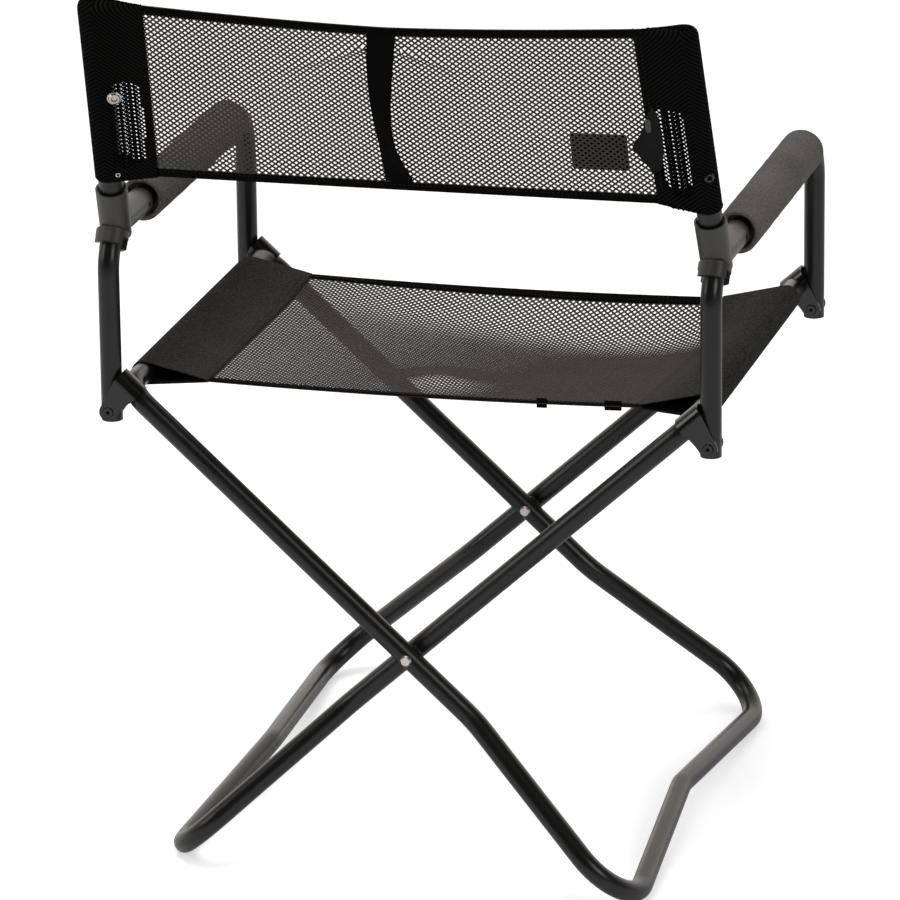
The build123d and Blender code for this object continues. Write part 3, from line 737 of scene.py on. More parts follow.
def sleeve_runs(radius, low_seam, high_seam):
    """The arc of a sleeve: its start angle and two ends, and the lengths of upper run, arc, lower run."""
    start = (math.atan2(high_seam.y, high_seam.x) - math.acos(radius / high_seam.length)) % TURN
    stop = (math.atan2(low_seam.y, low_seam.x) + math.acos(radius / low_seam.length)) % TURN - TURN
    upper, lower = on_circle(start, radius), on_circle(stop, radius)
    lengths = ((high_seam - upper).length, radius * (start - stop), (low_seam - lower).length)
    return start, upper, lower, lengths


def sleeve_section(share, radius, low_seam, high_seam):
    """Point at a share of the way round a sleeve, from its upper seam over the tube to its lower seam."""
    start, upper, lower, lengths = sleeve_runs(radius, low_seam, high_seam)
    way = share * sum(lengths)
    if way < lengths[0]:
        return high_seam.lerp(upper, way / lengths[0])
    if way < lengths[0] + lengths[1]:
        return on_circle(start - (way - lengths[0]) / radius, radius)
    return lower.lerp(low_seam, (way - lengths[0] - lengths[1]) / lengths[2])


def seam_pair(width, level=0):
    """The lower and the upper seam point of a sleeve, seen from the axis of its tube."""
    return [Vector((-width, level + way * SEAM_HALF_T)) for way in (-1, 1)]


# %% [markdown]
# The seat sleeves are doubled mesh, and no light comes through them, so their diamonds are only dimples.
# A bump in the shader would be lighter work, but real dimples also show at the edge of the sleeve. The
# field is as wide as the girth of the section and is rolled round the rail. At its seam a sleeve follows
# the sag of the seat, so that sleeve and net meet along one line.

# %% Sleeves of the seat
SEAT_SLEEVE_R = TUBE_R + SLEEVE_ROOM
SEAT_ROUND = sum(sleeve_runs(SEAT_SLEEVE_R, *seam_pair(SEAT_SLEEVE_W))[3])
SEAT_DIMPLE = 0.45 * MM


def seat_sleeve_point(side, x, v, lift=0):
    """Point on a seat sleeve: x round it from its outer side, v along the seat."""
    seams = seam_pair(SEAT_SLEEVE_W, seat_height(side * (SEAT_W - SEAT_SLEEVE_W), v) - RAIL_Z)
    spot = sleeve_section(x / SEAT_ROUND + 0.5, SEAT_SLEEVE_R + lift, *seams)
    return seat_spot(side * (SEAT_W + spot.x), v, RAIL_Z + spot.y)


def make_seat_sleeve(name, side):
    bm = diamond_field(SEAT_ROUND, SEAT_LENGTH)
    dimple_diamonds(bm, list(bm.faces), SEAT_DIMPLE)
    lay(bm, lambda x, v, lift: seat_sleeve_point(side, x, v, lift))
    thicken(bm, SLEEVE_T)
    return new_piece(f"{name}_seat_sleeve", bm, "seat_sleeve_cloth", "mesh_cloth")


seat_sleeves = {name: make_seat_sleeve(name, side) for name, side in SIDES.items()}
for name, sleeve in seat_sleeves.items():
    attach(sleeve, f"seat_{name}")
print("seat sleeve girth:", round(SEAT_ROUND / MM, 1), "mm")

# %% [markdown]
# The back cloth stretches between two posts that lean back. Its hems curve: the top edge dips in the
# middle and the bottom edge rises, because the cloth is pulled sideways and draws in. It also bows a
# little to the rear. A subdivided plane could be pushed into this shape by hand. As with the seat, a
# function gives every point, so that all that is sewn on the back finds its place.

# %% Shape of the back
BACK_LOW, BACK_HIGH = 0.632, 0.806
LOW_RISE, HIGH_DIP = 2.5 * MM, 11 * MM
LOW_CURVE, HIGH_CURVE = 2, 1.4
BACK_SLEEVE_W = 44 * MM
BACK_BOW = 3 * MM


def back_half(z):
    return (post_axis(1, z) - post_axis(-1, z)).length / 2


def net_half(share):
    """Half width of the back net at a share of its height."""
    return back_half(BACK_LOW + (BACK_HIGH - BACK_LOW) * share) - BACK_SLEEVE_W + TUCK


BACK_NET_HALF = net_half(0.5)
BACK_TALL = (BACK_HIGH - BACK_LOW) * post_lean.length


def hem_heights(u):
    """Heights of the bottom and top hem at u across from the middle."""
    aside = min(1, abs(u) / back_half(BACK_LOW))
    low = BACK_LOW + LOW_RISE * (1 - aside ** LOW_CURVE)
    return low, BACK_HIGH - HIGH_DIP * (1 - aside ** HIGH_CURVE)


def back_point(u, share, lift=0):
    """Point on the back: u across, share of the way up between the hems, lift out to the rear."""
    low, high = hem_heights(u)
    z = low + (high - low) * share
    left, right = post_axis(1, z), post_axis(-1, z)
    across = (left - right).normalized()
    rear = post_lean.cross(across).normalized()
    bow = BACK_BOW * max(0, 1 - (u / BACK_NET_HALF) ** 2)
    return (left + right) / 2 + across * u + rear * (lift + bow)


print("back cloth:", round(2 * BACK_NET_HALF / MM), "x", round(BACK_TALL / MM), "mm between the seams")

# %% [markdown]
# Two small creases run out from the top of the strap, where its sewn end gathers the net. They could be
# pushed up with a sculpting brush. A ridge that fades along its line and to both sides is just as soft,
# and it is placed by its two ends, in millimetres across from the middle and down from the top hem.

# %% Creases of the back
PUCKERS_MM = (((22, 23), (106, 60)), ((-12, 25), (-67, 48)))
PUCKER_H, PUCKER_W = 3.5 * MM, 4.5 * MM
print("creases:", len(PUCKERS_MM), "up to", round(PUCKER_H / MM, 1), "mm high")


def pucker(u, down):
    """Lift of the two creases at u across and a distance down from the top hem."""
    lift = 0
    for start_mm, stop_mm in PUCKERS_MM:
        start, stop = Vector(start_mm) * MM, Vector(stop_mm) * MM
        along = stop - start
        way = Vector((u, down)) - start
        t = way.dot(along) / along.length_squared
        if 0 < t < 1:
            aside = (way - along * t).length
            lift += PUCKER_H * (1 - t) * math.exp(-((aside / PUCKER_W) ** 2))
    return lift


# %% [markdown]
# The net of the back is the same flat mesh, laid on the shape of the back. The posts lean apart, so each
# row is stretched to the width between the seams at its own height. A lattice could do that too, but the
# laying function is there already.

# %% Net of the back
fold_line = back_point(0, 0.5)


def fold_with_back(piece):
    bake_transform(piece)


def on_back_net(x, v, lift):
    """Point on the back net for a point of the flat net."""
    share = v / BACK_TALL + 0.5
    return back_point(x * net_half(share) / BACK_NET_HALF, share, lift + pucker(x, BACK_TALL / 2 - v))


def make_back_net():
    bm = diamond_field(2 * BACK_NET_HALF, BACK_TALL)
    holes = open_diamonds(bm, list(bm.faces))
    lay(bm, on_back_net)
    thicken(bm, YARN_T)
    print("back net holes:", holes)
    return new_piece("back_net", bm, "mesh_yarn", "mesh_cloth")


back_net = make_back_net()
fold_with_back(back_net)
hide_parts("left_back_sling", "right_back_sling")

# %% [markdown]
# The back sleeves slip over the posts like socks. They are closed at the top: near the top edge the two
# faces come together in a quarter round, and the outer corner is cut round. Two faces could be modelled
# and bridged. It is simpler to let one number, the gape, go from open to shut along the last stretch of
# the sleeve.

# %% Shape of the back sleeves
BACK_SLEEVE_R = POST_R + SLEEVE_ROOM
BACK_ROUND = sum(sleeve_runs(BACK_SLEEVE_R, *seam_pair(BACK_SLEEVE_W))[3])
TOP_ROUND = 9 * MM
CORNER_IN = 9 * MM
EAR, EAR_CURVE = 2.5 * MM, 8
SHUT = 0.06


def back_sleeve_point(side, x, v, lift=0):
    """Point on a back sleeve: x round it from its outer side, v up the cloth from its middle."""
    share = v / BACK_TALL + 0.5
    spot = sleeve_section(x / BACK_ROUND + 0.5, BACK_SLEEVE_R + lift, *seam_pair(BACK_SLEEVE_W))
    near_top = max(0, 1 - (BACK_TALL / 2 - v) / TOP_ROUND)
    gape = math.sqrt(max(SHUT ** 2, 1 - near_top ** 2))
    out = (spot.x + BACK_SLEEVE_W) / (BACK_SLEEVE_W + BACK_SLEEVE_R)
    half = back_half(BACK_LOW + (BACK_HIGH - BACK_LOW) * share)
    u = half + spot.x - CORNER_IN * (1 - gape) * out ** 2
    rise = EAR / BACK_TALL * out * max(0, share) ** EAR_CURVE
    return back_point(side * u, share + rise, spot.y * gape)


print("back sleeve girth:", round(BACK_ROUND / MM, 1), "mm")

# %% [markdown]
# Beside its seam each back sleeve has a window, three bands of open net that show light through both
# layers. A Boolean could cut it, but here it is chosen cell by cell: a cell is opened if its middle lies
# in a band, within a rectangle with round corners, and all others are dimpled. The field is sheared a
# little, so that the holes of the two layers don't line up. Solidify is a modifier here, which suits the
# tight fold at the top.

# %% Sleeves of the back
SLEEVE_PITCH = 4.8 * MM
SLEEVE_SKEW = 0.04
SLEEVE_DIMPLE, DIMPLE_YARN = 0.2 * MM, 1.7 * MM
WINDOW_LOW, WINDOW_HIGH = 0.075, 0.575
WINDOW_NEAR, WINDOW_FAR = 0.055, 0.30
WINDOW_BANDS, BAND_OPEN = 3, 0.75
REAR_YARN, FRONT_YARN = 1.25 * MM, 0.5 * MM


def in_window(centre):
    """Whether a cell lies in the window, a rectangle with round corners on each face of the sleeve."""
    up = centre.y / BACK_TALL + 0.5
    inward = 0.5 - abs(centre.x) / BACK_ROUND
    aside = (2 * inward - WINDOW_NEAR - WINDOW_FAR) / (WINDOW_FAR - WINDOW_NEAR)
    above = (2 * up - WINDOW_LOW - WINDOW_HIGH) / (WINDOW_HIGH - WINDOW_LOW)
    in_band = (aside + 1) / 2 * WINDOW_BANDS % 1 < BAND_OPEN
    return in_band and aside ** 4 + above ** 4 < 1


def make_back_sleeve(name, side):
    bm = diamond_field(BACK_ROUND, BACK_TALL, SLEEVE_PITCH, SLEEVE_SKEW)
    window = [cell for cell in bm.faces if in_window(cell.calc_center_median())]
    closed = [cell for cell in bm.faces if cell not in set(window)]
    rear = [cell for cell in window if cell.calc_center_median().x < 0]
    front = [cell for cell in window if cell not in set(rear)]
    dimple_diamonds(bm, closed, SLEEVE_DIMPLE, DIMPLE_YARN)
    holes = open_diamonds(bm, rear, REAR_YARN) + open_diamonds(bm, front, FRONT_YARN)
    lay(bm, lambda x, v, lift: back_sleeve_point(side, x, v, lift))
    bmesh.ops.recalc_face_normals(bm, faces=bm.faces)
    print(name, "window holes:", holes)
    sleeve = new_piece(f"{name}_back_sleeve", bm, "sleeve_cloth", "mesh_cloth")
    sleeve.modifiers.new("cloth thickness", "SOLIDIFY").thickness = SLEEVE_T
    return sleeve


back_sleeves = {name: make_back_sleeve(name, side) for name, side in SIDES.items()}
for name, sleeve in back_sleeves.items():
    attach(sleeve, f"back_{name}")

# %% [markdown]
# A woven tape is folded over each free edge of the nets, to keep the yarns from running. A curve with a
# bevel could be led along the edge. Here a flat strip is rolled once round a flat oval, its two long
# edges are merged and its ends are filled. So the tape lies on the cloth by the cloth's own function, and
# it keeps a flat UV map for its weave.

# %% Section of a tape
HEM_W = 9 * MM
HEM_T = 2.6 * MM
HEM_GIRTH = 2 * (HEM_W + HEM_T)
TAPE_STEP, TAPE_SIDES = 6 * MM, 20
TAPE_MERGE = 0.02 * MM
print("tape girth:", round(HEM_GIRTH / MM, 1), "mm")


def flatten(value):
    return math.copysign(math.sqrt(abs(value)), value)


def hem_section(turn):
    """Point on the oval section of a tape: distance in from the cloth's edge, and height off the cloth."""
    angle = TURN * turn
    return HEM_W / 2 * (1 - flatten(math.cos(angle))), HEM_T / 2 * flatten(math.sin(angle))


def make_tape(name, length, on_cloth, finish, slot):
    """A closed tape. on_cloth places a share along the tape from -0.5, a way in and a height."""
    bm = strip(length, HEM_GIRTH, max(2, round(length / TAPE_STEP)), TAPE_SIDES)
    lay(bm, lambda s, t, lift: on_cloth(s / length, *hem_section(t / HEM_GIRTH)))
    bmesh.ops.remove_doubles(bm, verts=bm.verts, dist=TAPE_MERGE)
    bmesh.ops.holes_fill(bm, edges=[edge for edge in bm.edges if edge.is_boundary], sides=0)
    bmesh.ops.recalc_face_normals(bm, faces=bm.faces)
    return new_piece(name, bm, finish, slot)


# %% [markdown]
# There are four hems: front and rear of the seat, bottom and top of the back. Each could be modelled on
# its own, but all that differs is the cloth they lie on. So each only says which point of its cloth lies
# at a share along the tape, a way in from the edge and a height.

# %% Tapes on the hems
SEAT_HEMS = {"front": -1, "rear": 1}
BACK_HEMS = {"bottom": 0, "top": 1}


def on_seat_hem(end):
    def place(along, inward, lift):
        return seat_point(2 * along * SEAT_NET_HALF, end * (SEAT_LENGTH / 2 - inward), lift)
    return place


def on_back_hem(edge):
    way = 1 - 2 * edge

    def place(along, inward, lift):
        return back_point(2 * along * net_half(edge), edge + way * inward / BACK_TALL, lift)
    return place


seat_trim, back_trim = [], []
for name, end in SEAT_HEMS.items():
    tape = make_tape(f"seat_{name}_tape", 2 * SEAT_NET_HALF, on_seat_hem(end), "binding", "mesh_cloth")
    fold_with_seat(tape)
    seat_trim.append(tape)
for name, edge in BACK_HEMS.items():
    tape = make_tape(f"back_{name}_tape", 2 * net_half(edge), on_back_hem(edge), "binding", "mesh_cloth")
    fold_with_back(tape)
    back_trim.append(tape)
print("tapes:", [tape.name for tape in seat_trim + back_trim])

# %% [markdown]
# Seams are sewn with stitches of thick thread. They could be a bump in the shader, but close to the
# camera a real stitch casts a little shadow. Each is a small ball drawn out along the seam and half sunk
# in the cloth. There are hundreds, so a ball has few faces, and it is made once and copied into every
# row.

# %% One stitch
STITCH_PITCH = 4 * MM
STITCH_R = 0.45 * MM
STITCH_FROM, STITCH_TO = 0.2, 0.8


def stitch_ball():
    """Mesh of one round stitch, to be stretched and placed."""
    bm = bmesh.new()
    bmesh.ops.create_uvsphere(bm, u_segments=6, v_segments=4, radius=1)
    ball = bpy.data.meshes.new("stitch")
    bm.to_mesh(ball)
    bm.free()
    return ball


STITCH = stitch_ball()
print("faces of a stitch:", len(STITCH.polygons))


def stitch_row(bm, line, length):
    """Add a row of stitches along a line."""
    count = round(length / STITCH_PITCH)
    for step in range(count):
        start, stop = line((step + STITCH_FROM) / count), line((step + STITCH_TO) / count)
        along = stop - start
        turn = along.to_track_quat("X", "Z").to_matrix().to_4x4()
        size = Matrix.Diagonal((along.length / 2, STITCH_R, STITCH_R, 1))
        ball = STITCH.copy()
        ball.transform(Matrix.Translation((start + stop) / 2) @ turn @ size)
        bm.from_mesh(ball)
        bpy.data.meshes.remove(ball)


# %% [markdown]
# A row follows any line that a function gives for a share from 0 to 1. An array along a curve could do
# the same, but it would need a curve for each seam, and the cloth's own functions are there already. Hems
# have one row on each face of the tape, and sleeves two rows on each face, close to the seam.

# %% Sew the seams
HEM_ROW_IN = 2 * MM
SLEEVE_ROWS_IN = 2 * MM, 6 * MM
SEWN_SHARE = 0.94


def sew(name, rows):
    """One piece with several rows of stitches, each a line and its length."""
    bm = bmesh.new()
    for line, length in rows:
        stitch_row(bm, line, length)
    return new_piece(name, bm, "thread", "mesh_cloth")


def hem_rows(on_cloth, length):
    """Two rows on a tape, one on each face, near its inner edge."""
    def row(height):
        return lambda t: on_cloth(t - 0.5, HEM_W - HEM_ROW_IN, height)
    return [(row(way * HEM_T / 2), length) for way in (1, -1)]


def sleeve_rows(point, side, girth, length):
    """Two rows on each face of a sleeve, close to its seam."""
    def row(x):
        return lambda t: point(side, x, (t - 0.5) * SEWN_SHARE * length)
    return [(row(way * (girth / 2 - inset)), length) for way in (1, -1) for inset in SLEEVE_ROWS_IN]


for name, end in SEAT_HEMS.items():
    stitches = sew(f"seat_{name}_stitches", hem_rows(on_seat_hem(end), 2 * SEAT_NET_HALF))
    fold_with_seat(stitches)
    seat_trim.append(stitches)
for name, edge in BACK_HEMS.items():
    stitches = sew(f"back_{name}_stitches", hem_rows(on_back_hem(edge), 2 * net_half(edge)))
    fold_with_back(stitches)
    back_trim.append(stitches)
for name, side in SIDES.items():
    for part, point, girth, length in (
        ("seat", seat_sleeve_point, SEAT_ROUND, SEAT_LENGTH),
        ("back", back_sleeve_point, BACK_ROUND, BACK_TALL),
    ):
        stitches = sew(f"{name}_{part}_sleeve_stitches", sleeve_rows(point, side, girth, length))
        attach(stitches, f"{part}_{name}")

# %% [markdown]
# The grips are foam tubes pushed over the arms, soft to hold and a little uneven. A Boolean could bore a
# cylinder. Instead half the section is drawn as a flat outline with rounded corners and a hollow mouth at
# the rear end, and a full spin makes the tube, which leaves clean rounds without cutting. A little noise
# keeps the foam from looking turned on a lathe.

# %% Foam grips
GRIP_BORE_R = 9.55 * MM
MOUTH_R = 15.5 * MM
MOUTH_DEPTH = 14 * MM
GRIP_EDGE_R = 2 * MM
GRIP_RINGS = 44
GRIP_STEPS = 40
GRIP_MERGE = 0.01 * MM
FOAM_UNEVEN = 0.3 * MM
FOAM_LUMP = 18 * MM


def make_grip(name):
    low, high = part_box(f"{name}_armrest_grip")
    axis = (low + high) / 2
    radius = (high.x - low.x) / 2
    bm = bmesh.new()
    outline = (
        (GRIP_BORE_R, high.y - MOUTH_DEPTH), (MOUTH_R, high.y - MOUTH_DEPTH), (MOUTH_R, high.y),
        (radius, high.y), (radius, low.y), (GRIP_BORE_R, low.y),
    )
    corners = [bm.verts.new((r, y, 0)) for r, y in outline]
    bm.faces.new(corners)
    bmesh.ops.bevel(bm, geom=corners, affect="VERTICES", offset=GRIP_EDGE_R, segments=4, profile=0.5,
                    material=-1)
    bmesh.ops.delete(bm, geom=list(bm.faces), context="FACES_ONLY")
    long_sides = [edge for edge in bm.edges if edge.calc_length() > 5 * MOUTH_DEPTH]
    bmesh.ops.subdivide_edges(bm, edges=long_sides, cuts=GRIP_RINGS)
    bmesh.ops.spin(bm, geom=[*bm.verts, *bm.edges], cent=(0, 0, 0), axis=(0, 1, 0), angle=TURN,
                   steps=GRIP_STEPS, use_merge=True)
    bmesh.ops.remove_doubles(bm, verts=bm.verts, dist=GRIP_MERGE)
    bmesh.ops.recalc_face_normals(bm, faces=bm.faces)
    for vertex in bm.verts:
        outwards = Vector((vertex.co.x, 0, vertex.co.z))
        if outwards.length > MOUTH_R:
            vertex.co += outwards.normalized() * FOAM_UNEVEN * noise.noise(vertex.co / FOAM_LUMP)
    bmesh.ops.translate(bm, verts=bm.verts, vec=(axis.x, 0, axis.z))
    return new_piece(f"{name}_foam_grip", bm, "foam", "foam")


for name in SIDES:
    grip = make_grip(name)
    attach(grip, f"arm_{name}")
    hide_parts(f"{name}_armrest_grip")
    print(grip.name, len(grip.data.polygons), "faces")

# %% [markdown]
# A slack strap of webbing hangs down the middle of the back, its ends sewn in under the two hem tapes. It
# bows out to the rear, most of all above its middle, and it twists, so that below its middle it is seen
# half edge on. A curve with a tilt at its points could give that. A function from the flat strap to its
# place in space does it too, and short steps along it measure its length.

# %% Path of the strap
STRAP_W = 25 * MM
STRAP_BOW = 33 * MM
STRAP_PEAK = 0.58
STRAP_CROWN = 1.2 * MM
STRAP_TWIST = math.radians(-41)
TWIST_PEAK = 0.54
STRAP_AT = 4.2 * MM
STRAP_ENDS = 0.025, 0.975
MEASURE_STEPS = 40


def arch(t, peak):
    """A smooth hump from 0 through 1 at peak to 0."""
    return math.sin(math.pi * t ** (math.log(0.5) / math.log(peak)))


def strap_point(across, t):
    """Point on the strap, t of the way up from its lower end."""
    t = min(1, max(0, t))
    swing = arch(t, STRAP_PEAK)
    twist = STRAP_TWIST * arch(1 - t, TWIST_PEAK)
    crown = STRAP_CROWN * (1 - (2 * across / STRAP_W) ** 2) * swing
    share = STRAP_ENDS[0] + (STRAP_ENDS[1] - STRAP_ENDS[0]) * t
    lift = STRAP_BOW * swing + crown + across * math.sin(twist)
    return back_point(STRAP_AT + across * math.cos(twist), share, lift)


def strap_length():
    stops = [strap_point(0, step / MEASURE_STEPS) for step in range(MEASURE_STEPS + 1)]
    return sum((after - before).length for before, after in zip(stops, stops[1:]))


print("strap length:", round(strap_length() / MM, 1), "mm")

# %% [markdown]
# The strap is a flat strip, laid on its path and thickened. A cloth simulation would hang it, but webbing
# is stiff and keeps the twist in which it was sewn, so it is shaped directly.

# %% Strap of the back
STRAP_T = 1.5 * MM
STRAP_STEPS, STRAP_SIDES = 70, 10


def make_strap():
    length = strap_length()
    bm = strip(length, STRAP_W, STRAP_STEPS, STRAP_SIDES)
    lay(bm, lambda s, across, lift: strap_point(across, s / length + 0.5))
    thicken(bm, STRAP_T)
    return new_piece("strap_webbing", bm, "webbing", "webbing")


strap = make_strap()
fold_with_back(strap)
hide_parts("back_strap")
strap_length()
print("strap faces:", len(strap.data.polygons))

# %% [markdown]
# A patch and a folded tab are sewn on the right half of the back. Such flat pieces could be cut from a
# plane. Here the outline is drawn as one face, a bevel of its vertices rounds the corners, and an inset
# makes a rim that is pressed down, as the edge of a sewn piece is. Extruding the face downwards gives the
# thickness. Both are placed by their distance inboard of a post and their height, which one can measure
# on a real chair.

# %% Sewn plates
PLATE_RIM = 0.8 * MM
print("rim of a plate:", round(PLATE_RIM / MM, 1), "mm")


def rear_spot(side, inboard, z, lift):
    """Point a distance inboard of a back post, at height z, lifted off the rear of the cloth."""
    u = side * (back_half(z) - inboard)
    low, high = hem_heights(u)
    return back_point(u, (z - low) / (high - low), lift)


def flat_plate(name, outline, corner_r, lift, fall, thickness, finish):
    """A sewn plate on the right half of the back, its outer edge lifted, falling towards the middle."""
    bm = bmesh.new()
    corners = [bm.verts.new((inboard, z, 0)) for inboard, z in outline]
    bm.faces.new(corners)
    bmesh.ops.bevel(bm, geom=corners, affect="VERTICES", offset=corner_r, segments=4, profile=0.5,
                    material=-1)
    bmesh.ops.inset_region(bm, faces=list(bm.faces), thickness=PLATE_RIM, depth=0)
    rim = [vertex for vertex in bm.verts if any(edge.is_boundary for edge in vertex.link_edges)]
    for vertex in rim:
        vertex.co.z -= thickness / 4
    under = bmesh.ops.extrude_face_region(bm, geom=list(bm.faces))["geom"]
    under_verts = [item for item in under if isinstance(item, bmesh.types.BMVert)]
    bmesh.ops.translate(bm, verts=under_verts, vec=(0, 0, -thickness))
    outer = min(inboard for inboard, z in outline)

    def place(inboard, z, height):
        return rear_spot(-1, inboard, z, lift - fall * (inboard - outer) + height)

    lay(bm, place)
    bmesh.ops.recalc_face_normals(bm, faces=bm.faces)
    plate = new_piece(name, bm, finish, "webbing")
    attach(plate, "back_right")
    return plate


# %% [markdown]
# The patch is a plain rectangle of cloth, flat on the net, and its outline follows the lean of the posts.
# The tab is a folded end of webbing that stands off the sleeve at its outer edge. Its outline is a few
# points, in millimetres inboard of the post and above the floor, because a folded end has no regular
# shape.

# %% Patch and folded tab
PATCH_IN, PATCH_Z = 89 * MM, 0.681
PATCH_W, PATCH_H, PATCH_T = 50 * MM, 37 * MM, 0.9 * MM
PATCH_LIFT = -0.8 * MM
PATCH_CORNER_R, TAB_CORNER_R = 1.5 * MM, 2 * MM
TAB_T = 2.3 * MM
TAB_LIFT, TAB_FALL = 5.2 * MM, 0.117
TAB_OUTLINE_MM = ((36, 733), (31, 720), (30, 703), (31, 687), (35, 671), (43, 667), (59, 689), (49, 704))

patch_outline = []
for right, up in ((-1, -1), (1, -1), (1, 1), (-1, 1)):
    z = PATCH_Z + up * PATCH_H / 2 / post_lean.length
    upright = back_half(z) - back_half(PATCH_Z)
    patch_outline.append((PATCH_IN + upright + right * PATCH_W / 2, z))
patch = flat_plate("back_patch_cloth", patch_outline, PATCH_CORNER_R, PATCH_LIFT, 0, PATCH_T, "binding")
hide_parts("back_patch")
tab_outline = [(inboard * MM, z * MM) for inboard, z in TAB_OUTLINE_MM]
tab = flat_plate("folded_tab", tab_outline, TAB_CORNER_R, TAB_LIFT + TAB_T, TAB_FALL, TAB_T, "tab_webbing")
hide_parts("strap_tab")
print("sewn plates:", patch.name, tab.name)

# %% [markdown]
# The press stud and the eyelets sit on the sleeves, which slope from the post down to the seam. They
# could be turned by eye until they look right. Here short steps on the surface, one across and one up,
# give its slope, and their cross product is the direction in which a piece faces.

# %% Place of a turned piece
PROUD = 0.35 * MM
print("turned pieces stand off the cloth by", round(PROUD / MM, 2), "mm")


def sleeve_surface(side, inboard, z):
    """Point on the rear of a back sleeve, a distance inboard of its post."""
    if inboard < 0:
        depth = math.sqrt(BACK_SLEEVE_R ** 2 - inboard ** 2)
    else:
        depth = BACK_SLEEVE_R + (SEAM_HALF_T - BACK_SLEEVE_R) * inboard / BACK_SLEEVE_W
    return rear_spot(side, inboard, z, depth)


def sleeve_frame(side, inboard, z):
    """Place of a small turned piece: its origin on the rear of a sleeve, its Z square to the cloth."""
    across = sleeve_surface(side, inboard - MM, z) - sleeve_surface(side, inboard + MM, z)
    across = across.normalized() * side
    up = (sleeve_surface(side, inboard, z + MM) - sleeve_surface(side, inboard, z - MM)).normalized()
    normal = across.cross(up).normalized()
    if normal.y < 0:
        normal = -normal
        across = -across
    up = normal.cross(across)
    axes = Matrix((across, up, normal)).transposed().to_4x4()
    return Matrix.Translation(sleeve_surface(side, inboard, z) + normal * PROUD) @ axes


# %% [markdown]
# A press stud and an eyelet are round about one axis, as if turned on a lathe. A cylinder could be scaled
# and inset ring by ring. Drawing half the section and spinning it full circle needs only a few points.
# Then sharp edges get a small bevel, because pressed metal has no sharp edge and a bevel catches the
# light.

# %% Press stud and eyelets
STUD = {"inboard": 14 * MM, "z": 0.716}
STUD_SECTION_MM = ((0, 0.9), (2.2, 0.9), (2.9, 2.6), (4.6, 2.4), (5.2, 1.2), (6.5, 0.8), (6.5, 0), (0, 0))
EYELETS = {
    "left": {"inboard": 10.5 * MM, "z": 0.639, "scale": 5 / 9, "slot": "rivet_steel"},
    "right": {"inboard": -7 * MM, "z": 0.668, "scale": 1, "slot": "bracket_coat"},
}
EYELET_SECTION_MM = ((2.0, -0.6), (2.0, 1.0), (2.8, 1.7), (3.8, 1.3), (4.5, 0.4), (4.5, -0.6))
TURNED_STEPS = 28
TURNED_MERGE = 0.005 * MM
TURNED_EDGE = 0.2 * MM
SHARP = math.radians(25)


def turned(name, section_mm, scale, place, finish, slot, closed):
    """A turned piece from a half section of radii and heights in millimetres."""
    bm = bmesh.new()
    points = [bm.verts.new((r * scale * MM, 0, z * scale * MM)) for r, z in section_mm]
    pairs = list(zip(points, points[1:]))
    if closed:
        pairs.append((points[-1], points[0]))
    edges = [bm.edges.new(pair) for pair in pairs]
    bmesh.ops.spin(bm, geom=[*points, *edges], cent=(0, 0, 0), axis=(0, 0, 1), angle=TURN,
                   steps=TURNED_STEPS, use_merge=True)
    bmesh.ops.remove_doubles(bm, verts=bm.verts, dist=TURNED_MERGE)
    bmesh.ops.recalc_face_normals(bm, faces=bm.faces)
    sharp = [edge for edge in bm.edges if len(edge.link_faces) == 2 and edge.calc_face_angle() > SHARP]
    bmesh.ops.bevel(bm, geom=sharp, affect="EDGES", offset=TURNED_EDGE * scale, segments=2, profile=0.5,
                    material=-1)
    bmesh.ops.transform(bm, matrix=place, verts=bm.verts)
    return new_piece(name, bm, finish, slot)


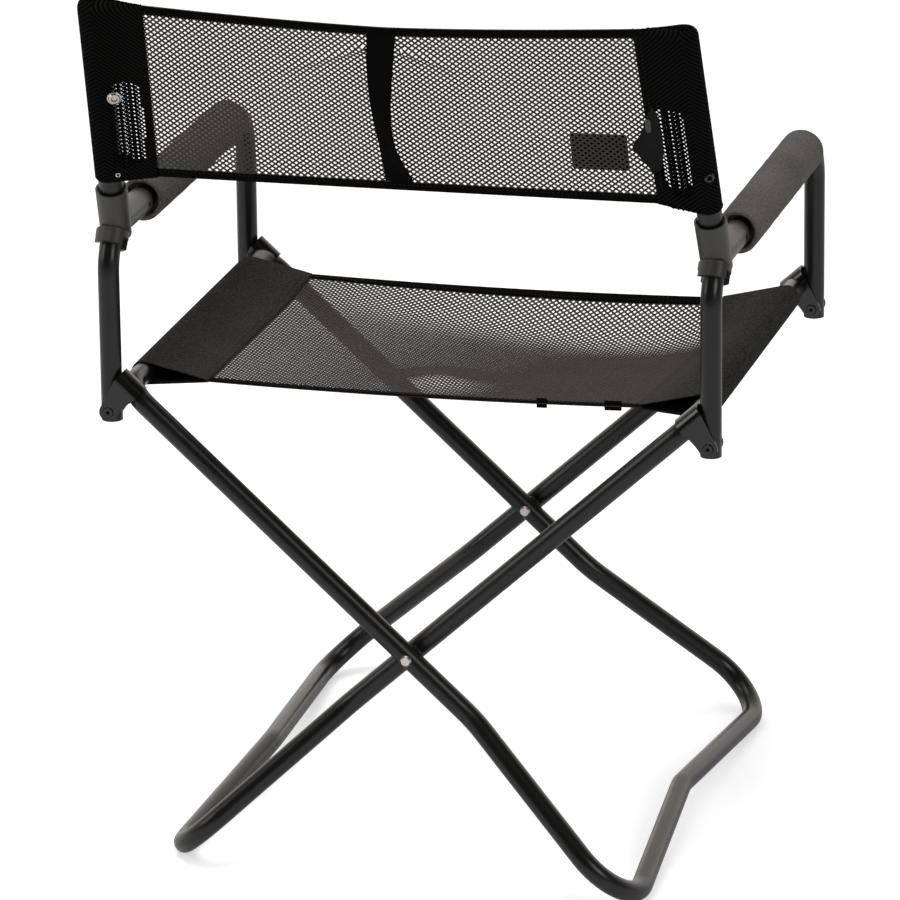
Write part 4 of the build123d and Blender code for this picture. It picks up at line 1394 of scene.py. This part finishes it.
stud_place = sleeve_frame(1, **STUD)
stud = turned("domed_stud", STUD_SECTION_MM, 1, stud_place, "stud_steel", "rivet_steel", False)
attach(stud, "back_left")
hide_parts("press_stud")
for name, side in SIDES.items():
    spot = EYELETS[name]
    place = sleeve_frame(side, spot["inboard"], spot["z"])
    slot = spot["slot"]
    eyelet = turned(f"{name}_rolled_eyelet", EYELET_SECTION_MM, spot["scale"], place, slot, slot, True)
    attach(eyelet, f"back_{name}")
    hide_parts(f"{name}_sleeve_eyelet")
print("turned pieces:", 1 + len(EYELETS))

# %% [markdown]
# Two short loops of tape hang under the rear hem of the seat. They could be modelled as small folded
# strips. Seen from outside they are the same rolled tape, cut short and hung from the hem with its edge
# down, so the tape is used again and keeps its weave.

# %% Loops under the rear hem
LOOP_DROP = 4.5 * MM
LOOP_THIN = 0.7
LOOP_IN = 1.5 * MM
LOOPS_MM = ((-108, 9), (-172, 15))


def on_loop(u, width):
    """A loop hangs from the rear hem: its way in runs up from its lower end, and its height to the rear."""
    def place(along, inward, lift):
        top = seat_point(u + along * width, SEAT_LENGTH / 2 - LOOP_IN)
        return top + Vector((0, lift * LOOP_THIN, inward - LOOP_DROP))
    return place


loops = [make_tape(f"hem_loop_{number}", width * MM, on_loop(u * MM, width * MM), "binding", "webbing")
         for number, (u, width) in enumerate(LOOPS_MM, 1)]
for loop in loops:
    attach(loop, "seat_right")
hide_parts("hem_tabs")
print("loops:", [loop.name for loop in loops])

# %% [markdown]
# Each net and sleeve has a flat size, as a maker would cut it: the nets between their seams, and the
# sleeves with the girth that goes round the tube. These flat sizes are printed.

for label, width, length in (
    ("seat net", 2 * SEAT_NET_HALF, SEAT_LENGTH), ("back net", 2 * BACK_NET_HALF, BACK_TALL),
    ("seat sleeve", SEAT_ROUND, SEAT_LENGTH), ("back sleeve", BACK_ROUND, BACK_TALL),
):
    print("flat", label, round(width / MM, 1), "x", round(length / MM, 1), "mm")
